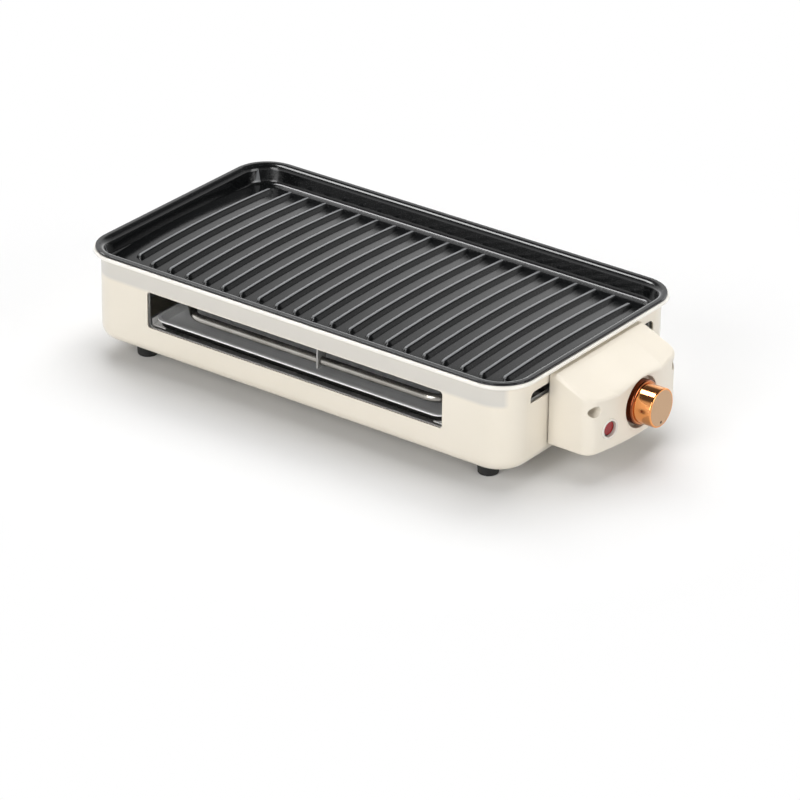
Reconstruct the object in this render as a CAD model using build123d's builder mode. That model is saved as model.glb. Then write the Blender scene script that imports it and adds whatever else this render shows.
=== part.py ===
from build123d import *
from math import asin, atan2, cos, degrees, hypot, sin
import os

os.makedirs("parts", exist_ok=True)

# Indoor electric grill, in millimetres. It stands on the plane Z = 0, its long side runs along X,
# the control case is at the +X end and the front window faces -Y. The origin is under the middle
# of the whole object.

# Overall sizes, standing on the feet
overall_length = 460.0
overall_width = 226.0
overall_height = 90.0
control_reach = 55.3  # knob front beyond the lip of the body

# Shared by all cuts and all screw tails
cut_overrun = 2.0

# Painted steel body
shell_sheet = 1.0
lip_overhang = 5.9  # lip beyond the wall
lip_depth = 3.0
lip_round = 1.3
lip_cove = 3.6  # round between the lip and the wall
wall_corner = 25.0
bottom_round = 9.0
foot_height = 15.7
window_drop = 51.1  # window's lower edge under the top
window_height = 29.8
window_margin = 58.35  # from the end walls
window_corner = 2.6

# Slot in the end wall, for air and the sensor tube
slot_drop = 19.55  # under the top
slot_margin = 28.0  # from the long walls
slot_width = 8.2
slot_round = 5.0  # its upper corners

# Cast grill plate
plate_margin = 1.6  # lip beyond the plate
plate_seat_gap = 0.2
flange_depth = 1.6
flange_round = 0.7
rim_width = 7.2
rim_round = 5.0
pan_depth = 15.2
pan_draft = 2.6  # how far the inner wall leans in over the pan's depth
plate_wall = 1.5
plate_floor = 1.8
floor_round = 4.0
under_round = 2.0
floor_crown = 3.6  # the floor's middle line above its long edges
crown_land = 1.0  # flat strip between the crown and the round of the wall
crown_sink = 0.3  # the crown's edge inside the floor
arch_shares = [0, 0.125, 0.25, 0.375, 0.5, 0.625, 0.75, 0.875, 1]  # points along the crown's arch
ridge_end_room = 18.0  # least from the pan's end to a ridge's middle
ridge_pitch = 17.1
ridge_height = 2.9
ridge_base = 7.6
ridge_lean = 2.4  # how far each ridge side leans in
ridge_round = 1.8
ridge_sink = 1.3  # a ridge's foot inside the floor
ridge_front_margin = 18.8  # from the pan's inner wall to a ridge's end
ridge_back_margin = 9.2
corner_ridge_cut = 5.4  # first and last ridge are this much shorter at each end

# Feet and their screws
foot_inset_x = 35.5  # from the end walls
foot_inset_y = 27.5  # from the long walls
foot_radius = 8.8
foot_lean = 0.9  # smaller at the floor
foot_round = 1.0
foot_land = 4.0  # steel left between a foot and the opening in the body's bottom
foot_bore_depth = 7.0
screw_radius = 2.0
screw_clear = 0.2
screw_head_radius = 3.8
screw_head_depth = 2.2
recess_share = 0.55  # drive recess, of the head's radius
recess_slim_share = 0.25  # drive recess width, of its length
nut_radius = 3.6
nut_depth = 3.2
nut_sides = 6

# Base plate over the opening in the body's bottom
base_sheet = 1.0
base_inset = 20.0  # from the walls
base_corner = 12.0
base_screw_run = 58.15  # from the opening's end to the outer screws
vent_length = 34.0
vent_width = 4.0
vent_pitch_x = 62.0
vent_pitch_y = 14.0
vent_columns = 4
vent_rows = 5

# Bright steel liner inside the walls
liner_gap = 3.0
liner_sheet = 0.6
liner_foot_share = 5 / 24  # its lower edge, of the way from the base plate to its window
liner_headroom = 1.5  # under the grill plate
liner_reveal = 0.9  # its window is larger than the body's by this much
liner_tab_length = 18.0
liner_tab_depth = 2.0
liner_tab_pitch = 115.0

# Drip tray, the drawer
tray_play = 1.1  # to each side of the window
sill_gap = 0.5
tray_setback = 4.0  # its front behind the body's front
tray_back_gap = 8.0
tray_depth = 6.4
tray_sheet = 0.8
tray_corner = 8.0
tray_rim = 1.6
tray_rim_depth = 1.2
tray_lean = 1.7

# Runners of the drip tray
runner_sheet = 1.0
runner_play = 0.9
runner_gap = 0.2  # under the tray
runner_ledge = 12.0
runner_guide = 5.0  # its web stands this much above the ledge
runner_flange = 14.0
runner_end_gap = 2.0
runner_foot_inset = 14.0  # its flange is shorter than the base plate at each end
rivet_radius = 1.6
rivet_head_radius = 2.8
rivet_head_depth = 1.0
rivet_run = 18.1  # from the flange's end

# Heating element, a steel tube bent in one plane
element_drop = 35.0  # under the top
element_radius = 3.25
element_inset = 10.1  # outer runs, from the long walls
element_inner = 26.0
element_run = 16.45  # straight ends inside the end wall
element_tip_inset = 60.95  # left tips, from the end wall
element_turn_inset = 58.45  # right tip, from the end wall
element_bend = 16.0
element_reach = 9.0  # beyond the end wall
terminal_gap = 11.0  # from the wells of the case

# Ceramic bushes and cold pins of the element
bush_radius = 6.0
bush_flange_radius = 8.5
bush_flange_depth = 2.4
bush_stand = 3.0
bush_fit = 0.1
pin_radius = 1.5
pin_length = 3.0
ferrule_width = 5.0
ferrule_length = 7.0

# Hanger that carries the element from the liner
hanger_x = 20.0
hanger_width = 10.0
hanger_sheet = 1.2
hanger_drop = 4.2  # its bar under the liner's upper edge
hook_width = 10.0
hook_sheet = 1.6
hook_wall = 1.5
hook_fit = 0.1

# Control case, a moulded shell
case_width = 114.0
case_drop = 65.5  # lower edge under the top
case_top_gap = 2.3  # under the lip
case_wall = 2.2
case_bulge = 8.0
case_corner = 10.0
crease_drop = 24.0  # under the top
crease_round = 3.2
case_bottom_round = 2.5
knob_reach = 16.9  # knob front beyond the case
knob_drop = 39.6  # under the top
recess_radius = 20.0
recess_depth = 6.0
well_inset = 6.0  # from the sides of the case
well_drop = 30.2  # under the top
well_radius = 4.6
well_depth = 19.0  # from the foremost point of the case
boss_depth = 29.0  # from the foremost point of the case

# Steel plate between the case and the body
back_sheet = 1.0
back_inset = 3.5
back_corner = 4.0
back_screw_radius = 1.6
back_screw_head_radius = 2.6
back_screw_head_depth = 1.8
back_screw_low_inset = 9.0  # from the sides of the case
back_screw_land = 4.0  # above the plate's edge and the round of the body
back_screw_high_inset = 27.0
back_screw_high_drop = 13.6  # under the top
sensor_hole_radius = 3.0
pillar_radius = 3.4
case_screw_radius = 1.8
case_screw_head_radius = 3.5
case_screw_head_depth = 2.4
case_screw_tail = 10.0

# Knob, thermostat and sensor
knob_gap = 0.8
knob_radius = 15.2
knob_skirt_radius = 17.2
knob_skirt_depth = 7.8
knob_skirt_round = 1.4
knob_edge = 1.0
knob_wall = 2.4
knob_hub_radius = 5.5
knob_hub_bore = 12.0  # how deep the spindle sits in the knob
knob_face_radius = 13.8
knob_face_depth = 0.8
knob_face_fit = 0.05
dot_radius = 1.1
dot_offset = 11.4
spindle_radius = 3.0
spindle_flat = 1.0  # depth of the flat
spindle_fit = 0.05
spindle_seat = 8.0  # inside the thermostat
spindle_hole_clear = 0.5
bracket_stand = 20.2
bracket_sheet = 1.2
bracket_width = 40.0
bracket_height = 12.0
bracket_flange_share = 10 / 19  # of the room between the bracket and a bush
thermostat_depth = 15.0
thermostat_width = 30.0
thermostat_height = 26.0
thermostat_round = 1.5
collar_radius = 5.0
collar_length = 7.0
collar_fit = 0.05
collar_nut_radius = 8.0
collar_nut_depth = 2.5
sensor_tube_radius = 1.2
sensor_bulb_radius = 2.2
sensor_bulb_length = 45.0
sensor_inset = 12.0  # bulb's end inside the end wall
sensor_bend = 4.0

# Indicator lamp
lamp_shift = 1.5  # inwards from halfway between the recess and the side of the case
lamp_drop = 48.0  # under the top
lens_radius = 6.3
lens_fit = 0.05
lens_depth = 3.0
lens_sink = 1.6  # its front behind the case
lens_round = 1.0
bezel_wall = 0.8
bezel_fit = 0.1
bezel_flange = 0.9
bezel_flange_depth = 0.8
bezel_length = 8.0
lamp_radius = 5.0
lamp_length = 18.0
lead_radius = 0.8
lead_spread = 3.0
lead_run = 6.0
lead_bend = 3.0
lead_drop = 1.4  # the lower lead under the lamp's axis

# Terminal block, thermal fuse, wires and cord gland
block_land = 2.0  # beyond the wire that stands on it
block_depth = 18.0
block_height = 8.0
block_ways = 3
block_screw_radius = 1.8
block_screw_depth = 3.0
wire_radius = 1.1
wire_bend = 3.0
supply_spread = 8.0  # wires at the thermostat, from its middle
supply_run = 6.0  # from the block to the bend
fuse_radius = 2.2
fuse_length = 8.0
gland_drop = 49.0  # under the top
gland_stand = 20.0  # from the back of the case
gland_bore = 3.6
gland_wall = 1.9
gland_flange = 1.6
gland_flange_depth = 2.0

# Places worked out from the sizes above
lip_length = overall_length - control_reach
body_x = -control_reach / 2
wall_length = lip_length - 2 * lip_overhang
wall_width = overall_width - 2 * lip_overhang
wall_end = body_x + wall_length / 2
back_face = wall_end + back_sheet
lip_top = overall_height - flange_depth - plate_seat_gap
window_bottom = overall_height - window_drop
window_length = wall_length - 2 * window_margin
slot_height = overall_height - slot_drop
slot_length = wall_width - 2 * slot_margin
element_height = overall_height - element_drop
element_front = wall_width / 2 - element_inset
case_bottom = overall_height - case_drop
crease_height = overall_height - crease_drop
knob_height = overall_height - knob_drop
well_spread = case_width / 2 - well_inset
well_height = overall_height - well_drop
terminal_spread = well_spread - terminal_gap
lamp_y = lamp_shift - (recess_radius + case_width / 2) / 2
lamp_height = overall_height - lamp_drop
gland_height = overall_height - gland_drop
foot_x = wall_length / 2 - foot_inset_x
foot_y = wall_width / 2 - foot_inset_y
floor_top = foot_height + shell_sheet
base_top = floor_top + base_sheet
pan_under = overall_height - pan_depth - plate_floor
tray_half = window_length / 2 - tray_play
runner_web = tray_half + runner_play
rivet_x = runner_web + runner_sheet + runner_flange / 2
flange_half = wall_width / 2 - base_inset - runner_foot_inset
rivet_pitch = 2 * (flange_half - rivet_run)
back_low = case_bottom + back_inset
back_screw_low_y = case_width / 2 - back_screw_low_inset
back_screw_low_z = max(back_low, foot_height + bottom_round) + back_screw_land
back_screw_high_y = case_width / 2 - back_screw_high_inset
back_screw_high_z = overall_height - back_screw_high_drop
block_bottom = back_low
end_holes = [(-terminal_spread, element_height), (terminal_spread, element_height)]


def level(height):
    """Horizontal plane at a height, with its middle on the body's middle."""
    return Plane((body_x, 0, height))


def end_openings(face_x, hole_radius):
    """Slot and two terminal holes, drawn on an end wall at face_x."""
    with BuildSketch(Plane.YZ.offset(face_x)) as openings:
        with Locations((0, slot_height)):
            Rectangle(slot_length, slot_width)
        fillet(openings.vertices().group_by(Axis.Y)[-1], slot_round)
        with Locations(*end_holes):
            Circle(hole_radius)
    return openings.sketch


def window_outline(face_y, reveal):
    """The front window, grown by reveal on every side, drawn on a plane at face_y."""
    with BuildSketch(Plane.XZ.offset(-face_y)) as outline:
        with Locations((body_x, window_bottom + window_height / 2)):
            RectangleRounded(window_length + 2 * reveal, window_height + 2 * reveal, window_corner + reveal)
    return outline.sketch


def drive_recess(plane, places, head_radius):
    """Crossed slots for a screwdriver, one on each screw head."""
    arm = 2 * head_radius * recess_share
    with BuildSketch(plane) as cross:
        with Locations(*places):
            Rectangle(arm, arm * recess_slim_share)
            Rectangle(arm * recess_slim_share, arm)
    return cross.sketch


# Body shell: drawn steel wall and bottom, rolled lip, window, end slot and bottom opening
opening_x = 2 * (foot_x - foot_radius - foot_land)
opening_y = 2 * (foot_y - foot_radius - foot_land)
base_screw_y = (opening_y / 2 + wall_width / 2 - base_inset) / 2
base_screw_pitch = opening_x / 2 - base_screw_run
base_screw_places = [
    (column * base_screw_pitch, row * base_screw_y) for column in (-1, 0, 1) for row in (-1, 1)
]
foot_places = [(side * foot_x, row * foot_y) for side in (-1, 1) for row in (-1, 1)]
back_screw_places = [
    (side * y, z)
    for y, z in ((back_screw_low_y, back_screw_low_z), (back_screw_high_y, back_screw_high_z))
    for side in (-1, 1)
]

with BuildPart() as body_shell:
    with BuildSketch(level(foot_height)):
        RectangleRounded(wall_length, wall_width, wall_corner)
    extrude(amount=lip_top - foot_height)
    fillet(body_shell.faces().sort_by(Axis.Z)[0].edges(), bottom_round)
    offset(amount=-shell_sheet, openings=body_shell.faces().sort_by(Axis.Z)[-1])
    with BuildSketch(level(lip_top - lip_depth)):
        RectangleRounded(lip_length, overall_width, wall_corner + lip_overhang)
        RectangleRounded(
            wall_length - 2 * shell_sheet,
            wall_width - 2 * shell_sheet,
            wall_corner - shell_sheet,
            mode=Mode.SUBTRACT,
        )
    extrude(amount=lip_depth)
    flat_faces = body_shell.faces().filter_by(Axis.Z).sort_by(Axis.Z)
    lip_edges = flat_faces[-1].outer_wire().edges() + flat_faces[-2].outer_wire().edges()
    fillet(lip_edges, lip_round)
    lip_under = body_shell.faces().filter_by(Axis.Z).sort_by(Axis.Z)[-2]
    fillet(lip_under.inner_wires()[0].edges(), lip_cove)
    extrude(
        window_outline(-wall_width / 2 - cut_overrun, 0),
        amount=-(shell_sheet + 2 * cut_overrun),
        mode=Mode.SUBTRACT,
    )
    extrude(
        end_openings(wall_end + cut_overrun, bush_radius + bush_fit),
        amount=-(shell_sheet + 2 * cut_overrun),
        mode=Mode.SUBTRACT,
    )
    with BuildSketch(Plane.YZ.offset(wall_end + cut_overrun)):
        with Locations(*back_screw_places):
            Circle(back_screw_radius)
    extrude(amount=-(shell_sheet + 2 * cut_overrun), mode=Mode.SUBTRACT)
    with BuildSketch(level(foot_height - cut_overrun)):
        RectangleRounded(opening_x, opening_y, base_corner)
        with Locations(*base_screw_places):
            Circle(screw_radius)
        with Locations(*foot_places):
            Circle(screw_radius + screw_clear)
    extrude(amount=shell_sheet + 2 * cut_overrun, mode=Mode.SUBTRACT)

# Base plate: steel cover with air slots, inside the body's bottom
with BuildPart() as base_plate:
    with BuildSketch(level(floor_top)):
        RectangleRounded(wall_length - 2 * base_inset, wall_width - 2 * base_inset, base_corner)
        with GridLocations(vent_pitch_x, vent_pitch_y, vent_columns, vent_rows):
            SlotOverall(vent_length, vent_width, mode=Mode.SUBTRACT)
        with Locations(*base_screw_places):
            Circle(screw_radius, mode=Mode.SUBTRACT)
        with Locations(*foot_places):
            Circle(screw_radius + screw_clear, mode=Mode.SUBTRACT)
        with GridLocations(2 * rivet_x, rivet_pitch, 2, 2):
            Circle(rivet_radius, mode=Mode.SUBTRACT)
    extrude(amount=base_sheet)

# Base screws: from below, through the body's bottom into the base plate
with BuildPart() as base_screws:
    with BuildSketch(level(foot_height - screw_head_depth)):
        with Locations(*base_screw_places):
            Circle(screw_head_radius)
    extrude(amount=screw_head_depth)
    with BuildSketch(level(foot_height)):
        with Locations(*base_screw_places):
            Circle(screw_radius)
    extrude(amount=shell_sheet + base_sheet + cut_overrun)
    extrude(
        drive_recess(level(foot_height - screw_head_depth), base_screw_places, screw_head_radius),
        amount=screw_head_depth / 2,
        mode=Mode.SUBTRACT,
    )

# Foot screws and their nuts
foot_screw_top = base_top + nut_depth + cut_overrun
with BuildPart() as foot_screws:
    with BuildSketch(level(foot_bore_depth - screw_head_depth)):
        with Locations(*foot_places):
            Circle(screw_head_radius)
    extrude(amount=screw_head_depth)
    with BuildSketch(level(foot_bore_depth)):
        with Locations(*foot_places):
            Circle(screw_radius)
    extrude(amount=foot_screw_top - foot_bore_depth)
    extrude(
        drive_recess(level(foot_bore_depth - screw_head_depth), foot_places, screw_head_radius),
        amount=screw_head_depth / 2,
        mode=Mode.SUBTRACT,
    )

with BuildPart() as foot_nuts:
    with BuildSketch(level(base_top)):
        with Locations(*foot_places):
            RegularPolygon(nut_radius, nut_sides)
            Circle(screw_radius, mode=Mode.SUBTRACT)
    extrude(amount=nut_depth)

# Feet: tapered rubber, bored from below for the screw head
foot_parts = {}
for side, side_name in ((-1, "left"), (1, "right")):
    for row, row_name in ((-1, "front"), (1, "back")):
        foot_plane = Plane((body_x + side * foot_x, row * foot_y, 0))
        with BuildPart() as foot:
            with BuildSketch(foot_plane):
                Circle(foot_radius - foot_lean)
            with BuildSketch(foot_plane.offset(foot_height)):
                Circle(foot_radius)
            loft()
            fillet(foot.edges().sort_by(Axis.Z)[0], foot_round)
            with BuildSketch(foot_plane):
                Circle(screw_head_radius + screw_clear)
            extrude(amount=foot_bore_depth, mode=Mode.SUBTRACT)
            with BuildSketch(foot_plane):
                Circle(screw_radius + screw_clear)
            extrude(amount=foot_height, mode=Mode.SUBTRACT)
        foot_parts["foot_" + row_name + "_" + side_name] = foot.part

# Heat liner: bright steel band inside the walls, hung from the wall by tabs
liner_length = wall_length - 2 * (shell_sheet + liner_gap)
liner_width = wall_width - 2 * (shell_sheet + liner_gap)
liner_corner = wall_corner - shell_sheet - liner_gap
liner_bottom = base_top + liner_foot_share * (window_bottom - liner_reveal - base_top)
liner_top = pan_under - liner_headroom
liner_face = liner_width / 2 - liner_sheet
liner_end = body_x + liner_length / 2
tab_middle = liner_width / 2 + (liner_gap - liner_sheet) / 2
with BuildPart() as heat_liner:
    with BuildSketch(level(liner_bottom)):
        RectangleRounded(liner_length, liner_width, liner_corner)
        RectangleRounded(
            liner_length - 2 * liner_sheet,
            liner_width - 2 * liner_sheet,
            liner_corner - liner_sheet,
            mode=Mode.SUBTRACT,
        )
    extrude(amount=liner_top - liner_bottom)
    with BuildSketch(level(liner_top - liner_tab_depth)):
        with GridLocations(liner_tab_pitch, 2 * tab_middle, 3, 2):
            Rectangle(liner_tab_length, liner_gap + liner_sheet)
    extrude(amount=liner_tab_depth)
    extrude(
        window_outline(-liner_width / 2 - liner_gap / 2, liner_reveal),
        amount=-(liner_sheet + liner_gap),
        mode=Mode.SUBTRACT,
    )
    extrude(
        end_openings(liner_end + liner_gap / 2, element_radius + bush_fit),
        amount=-(liner_sheet + liner_gap),
        mode=Mode.SUBTRACT,
    )

# Drip tray: shallow pan with leaning walls and a folded rim, slides out through the window
tray_bottom = window_bottom + sill_gap
tray_front = -wall_width / 2 + tray_setback
tray_back = liner_face - tray_back_gap
tray_length = tray_back - tray_front
tray_middle = Plane((body_x, (tray_back + tray_front) / 2, 0))
tray_wall_inset = tray_rim + tray_lean
tray_lean_angle = degrees(atan2(tray_lean, tray_depth))
with BuildPart() as drip_tray:
    with BuildSketch(tray_middle.offset(tray_bottom)):
        RectangleRounded(
            2 * (tray_half - tray_wall_inset), tray_length - 2 * tray_wall_inset, tray_corner
        )
    extrude(amount=tray_depth, taper=-tray_lean_angle)
    with BuildSketch(tray_middle.offset(tray_bottom + tray_depth - tray_rim_depth)):
        RectangleRounded(2 * tray_half, tray_length, tray_corner + tray_wall_inset)
    extrude(amount=tray_rim_depth)
    with BuildSketch(tray_middle.offset(tray_bottom + tray_sheet)):
        RectangleRounded(
            2 * (tray_half - tray_wall_inset - tray_sheet),
            tray_length - 2 * (tray_wall_inset + tray_sheet),
            tray_corner - tray_sheet,
        )
    extrude(amount=tray_depth, taper=-tray_lean_angle, mode=Mode.SUBTRACT)

# Runners: one bent steel bracket at each side of the tray, riveted to the base plate
runner_top = tray_bottom - runner_gap
runner_half = liner_face - runner_end_gap
runner_parts = {}
for side, side_name in ((-1, "left"), (1, "right")):
    web_x = side * (runner_web + runner_sheet / 2)
    ledge_x = side * (runner_web + runner_sheet - (runner_ledge + runner_sheet) / 2)
    flange_x = side * (runner_web + (runner_flange + runner_sheet) / 2)
    with BuildPart() as runner:
        with BuildSketch(level(base_top)):
            with Locations((web_x, 0)):
                Rectangle(runner_sheet, 2 * flange_half)
        extrude(amount=runner_top - base_top)
        with BuildSketch(level(base_top)):
            with Locations((flange_x, 0)):
                Rectangle(runner_flange + runner_sheet, 2 * flange_half)
            with Locations((side * rivet_x, -rivet_pitch / 2), (side * rivet_x, rivet_pitch / 2)):
                Circle(rivet_radius, mode=Mode.SUBTRACT)
        extrude(amount=runner_sheet)
        with BuildSketch(level(runner_top - runner_sheet)):
            with Locations((ledge_x, 0)):
                Rectangle(runner_ledge + runner_sheet, 2 * runner_half)
        extrude(amount=runner_sheet)
        with BuildSketch(level(runner_top)):
            with Locations((web_x, 0)):
                Rectangle(runner_sheet, 2 * runner_half)
        extrude(amount=runner_guide)
    runner_parts["runner_" + side_name] = runner.part

with BuildPart() as runner_rivets:
    with BuildSketch(level(floor_top)):
        with GridLocations(2 * rivet_x, rivet_pitch, 2, 2):
            Circle(rivet_radius)
    extrude(amount=base_sheet + runner_sheet)
    with BuildSketch(level(base_top + runner_sheet)):
        with GridLocations(2 * rivet_x, rivet_pitch, 2, 2):
            Circle(rivet_head_radius)
    extrude(amount=rivet_head_depth)
    fillet(runner_rivets.faces().filter_by(Axis.Z).group_by(Axis.Z)[-1].edges(), rivet_head_depth / 2)

# Grill plate: cast pan with a flat rim, a floor crowned from front to back and ridges that follow it
plate_length = lip_length - 2 * plate_margin
plate_width = overall_width - 2 * plate_margin
plate_corner = wall_corner + lip_overhang - plate_margin
pan_length = plate_length - 2 * rim_width
pan_width = plate_width - 2 * rim_width
pan_corner = plate_corner - rim_width
pan_floor = overall_height - pan_depth
draft_angle = degrees(atan2(pan_draft, pan_depth))
crown_half = pan_width / 2 - pan_draft - floor_round - crown_land
crown_radius = (crown_half**2 + floor_crown**2) / (2 * floor_crown)
crown_axis_z = pan_floor + floor_crown - crown_radius
crown_edge_z = pan_floor - crown_sink
crown_edge = (-((crown_radius**2 - (crown_edge_z - crown_axis_z) ** 2) ** 0.5), crown_edge_z)
crown_end = pan_length / 2 - pan_draft + plate_wall / 2
crown_side = pan_width / 2 - pan_draft + plate_wall / 2
ridge_half = pan_width / 2 - pan_draft - ridge_base / 2
ridge_front = ridge_half - ridge_front_margin
ridge_back = ridge_half - ridge_back_margin
ridge_count = 1 + int((pan_length - 2 * ridge_end_room) / ridge_pitch)


def arch_plane(y):
    """Plane across a ridge at y, its own Y axis square to the crowned floor."""
    turn = asin(y / crown_radius)
    point = (body_x, y, crown_axis_z + crown_radius * cos(turn))
    return Plane(origin=point, x_dir=(1, 0, 0), z_dir=(0, -cos(turn), sin(turn)))


def ridge(cut):
    """One ridge on the plate's middle, arched with the floor, round at both ends and shorter there by cut."""
    front = ridge_front - cut
    back = ridge_back - cut
    foot = ridge_base / 2 + ridge_lean * ridge_sink / ridge_height
    crest = ridge_base / 2 - ridge_lean
    with BuildPart() as bar:
        with BuildSketch(arch_plane(-front)):
            with BuildLine():
                FilletPolyline(
                    (-foot, -ridge_sink),
                    (-crest, ridge_height),
                    (crest, ridge_height),
                    (foot, -ridge_sink),
                    radius=ridge_round,
                )
                Line((foot, -ridge_sink), (-foot, -ridge_sink))
            make_face()
        revolve(
            axis=Axis((body_x, 0, crown_axis_z), (-1, 0, 0)),
            revolution_arc=degrees(asin(front / crown_radius) + asin(back / crown_radius)),
        )
        for side, reach in ((-1, front), (1, back)):
            end = arch_plane(side * reach)
            with BuildSketch(end):
                with BuildLine():
                    FilletPolyline(
                        (0, ridge_height), (crest, ridge_height), (foot, -ridge_sink), radius=ridge_round
                    )
                    Polyline((foot, -ridge_sink), (0, -ridge_sink), (0, ridge_height))
                make_face()
            revolve(axis=Axis(end.origin, end.y_dir * side), revolution_arc=180)
    return bar.part


with BuildPart() as crown:
    with BuildSketch(Plane.YZ.offset(body_x - crown_end)):
        with BuildLine():
            arch = ThreePointArc(
                crown_edge, (0, pan_floor + floor_crown), (-crown_edge[0], crown_edge[1]), mode=Mode.PRIVATE
            )
            Spline(*[arch @ share for share in arch_shares], tangents=[arch % 0, arch % 1])
            Line(crown_edge, (-crown_edge[0], crown_edge[1]))
        make_face()
    extrude(amount=2 * crown_end)
    with BuildSketch(level(pan_floor - plate_floor)):
        RectangleRounded(2 * crown_end, 2 * crown_side, pan_corner - pan_draft + plate_wall / 2)
    extrude(amount=pan_depth, mode=Mode.INTERSECT)

with BuildPart() as grill_plate:
    with BuildSketch(level(overall_height - flange_depth)):
        RectangleRounded(plate_length, plate_width, plate_corner)
    extrude(amount=flange_depth)
    fillet(grill_plate.faces().sort_by(Axis.Z)[-1].edges(), flange_round)
    with BuildSketch(level(overall_height - flange_depth)):
        RectangleRounded(pan_length + 2 * plate_wall, pan_width + 2 * plate_wall, pan_corner + plate_wall)
    extrude(amount=-(pan_depth + plate_floor - flange_depth), taper=draft_angle)
    fillet(grill_plate.faces().sort_by(Axis.Z)[0].edges(), under_round)
    with BuildSketch(level(overall_height)):
        RectangleRounded(pan_length, pan_width, pan_corner)
    extrude(amount=-pan_depth, taper=draft_angle, mode=Mode.SUBTRACT)
    fillet(grill_plate.faces().sort_by(Axis.Z)[-1].inner_wires()[0].edges(), rim_round)
    fillet(grill_plate.faces().filter_by(Axis.Z).sort_by(Axis.Z)[1].outer_wire().edges(), floor_round)
    add(crown.part)
    with GridLocations(ridge_pitch, 0, ridge_count - 2, 1):
        add(ridge(0))
    with GridLocations((ridge_count - 1) * ridge_pitch, 0, 2, 1):
        add(ridge(corner_ridge_cut))

# Heating element: four runs under the plate, both ends through the right end wall
element_outer_step = element_front - terminal_spread
element_left_step = (element_front - element_inner) / 2
element_right = wall_length / 2 - element_run - element_outer_step
element_left = wall_length / 2 - element_tip_inset - element_left_step
element_turn = wall_length / 2 - element_turn_inset - element_inner
element_half = [
    (wall_length / 2 + element_reach, terminal_spread),
    (element_right + element_outer_step, terminal_spread),
    (element_right, element_front),
    (-element_left, element_front),
    (-element_left - element_left_step, element_inner + element_left_step),
    (-element_left, element_inner),
    (element_turn, element_inner),
]
element_points = [(x, -y) for x, y in element_half]
element_points += [(element_turn + element_inner, 0)]
element_points += element_half[::-1]
with BuildPart() as heating_element:
    with BuildLine(level(element_height)) as element_path:
        FilletPolyline(*element_points, radius=element_bend)
    with BuildSketch(Plane(origin=element_path.line @ 0, z_dir=element_path.line % 0)):
        Circle(element_radius)
    sweep()

# Ceramic bushes where the element passes the end wall, and the cold pins on its ends
element_end = wall_end + element_reach
with BuildPart() as terminal_bushes:
    with BuildSketch(Plane.YZ.offset(wall_end - shell_sheet - bush_flange_depth)):
        with Locations(*end_holes):
            Circle(bush_flange_radius)
            Circle(element_radius + bush_fit, mode=Mode.SUBTRACT)
    extrude(amount=bush_flange_depth)
    with BuildSketch(Plane.YZ.offset(wall_end - shell_sheet)):
        with Locations(*end_holes):
            Circle(bush_radius)
            Circle(element_radius + bush_fit, mode=Mode.SUBTRACT)
    extrude(amount=shell_sheet + back_sheet + bush_stand)

with BuildPart() as element_pins:
    with BuildSketch(Plane.YZ.offset(element_end)):
        with Locations(*end_holes):
            Circle(pin_radius)
    extrude(amount=pin_length)
    with BuildSketch(Plane.YZ.offset(element_end + pin_length)):
        with Locations(*end_holes):
            Rectangle(ferrule_width, ferrule_width)
    extrude(amount=ferrule_length)

# Hanger: a bar under the plate, fixed to the liner front and back, with four hooks for the tube
hanger_bottom = liner_top - hanger_drop
hook_bottom = element_height - element_radius - hook_fit - hook_wall
with BuildPart() as element_hanger:
    with BuildSketch(level(hanger_bottom)):
        with Locations((hanger_x, 0)):
            Rectangle(hanger_width, 2 * liner_face)
    extrude(amount=hanger_sheet)
    with BuildSketch(level(hanger_bottom)):
        with Locations((hanger_x, 0)):
            with GridLocations(0, 2 * liner_face - hanger_sheet, 1, 2):
                Rectangle(hanger_width, hanger_sheet)
    extrude(amount=hanger_drop)
    with BuildSketch(Plane.YZ.offset(body_x + hanger_x - hook_sheet / 2)):
        for run in (-element_front, -element_inner, element_inner, element_front):
            with Locations((run, (hanger_bottom + hook_bottom) / 2)):
                Rectangle(hook_width, hanger_bottom - hook_bottom)
            with Locations((run, element_height)):
                Circle(element_radius + hook_fit, mode=Mode.SUBTRACT)
    extrude(amount=hook_sheet)

# Control case: the solid outside, the hollow, and what stands inside it
case_front = overall_length / 2 - knob_reach
case_top = lip_top - lip_depth - case_top_gap
slope_start = wall_end + lip_overhang
slope_run = case_front - slope_start
slope_fall = case_top - crease_height
recess_floor = case_front - recess_depth
well_floor = case_front - well_depth
boss_back = case_front - boss_depth
well_places = [(-well_spread, well_height), (well_spread, well_height)]


def case_block(inset, back):
    """Solid of the case, drawn in by inset on every side but the back, which is at back."""
    half = case_width / 2 - inset
    nose = case_front - inset
    cheek = nose - case_bulge
    low = case_bottom + inset
    drop = inset * hypot(slope_run, slope_fall) / slope_run
    with BuildPart() as block:
        with BuildSketch(Plane.XY.offset(low)):
            with BuildLine():
                Polyline((cheek, -half), (back, -half), (back, half), (cheek, half))
                ThreePointArc((cheek, half), (nose, 0), (cheek, -half))
            make_face()
        extrude(amount=case_top - low)
        with BuildSketch(Plane.XZ):
            with BuildLine():
                Polyline(
                    (back, low),
                    (case_front, low),
                    (case_front, crease_height - drop),
                    (slope_start, case_top - drop),
                    (back, case_top - drop),
                    close=True,
                )
            make_face()
        extrude(amount=case_width, both=True, mode=Mode.INTERSECT)
        fillet(block.edges().filter_by(Axis.Z).group_by(Axis.X)[-1], case_corner - inset)
    return block.part


def front_plane(y, height):
    """Plane on the bulged front of the case, facing outwards."""
    bulge_radius = ((case_width / 2) ** 2 + case_bulge**2) / (2 * case_bulge)
    turn = asin(y / bulge_radius)
    point = (case_front - bulge_radius + bulge_radius * cos(turn), y, height)
    return Plane(origin=point, x_dir=(-sin(turn), cos(turn), 0), z_dir=(cos(turn), sin(turn), 0))


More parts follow.
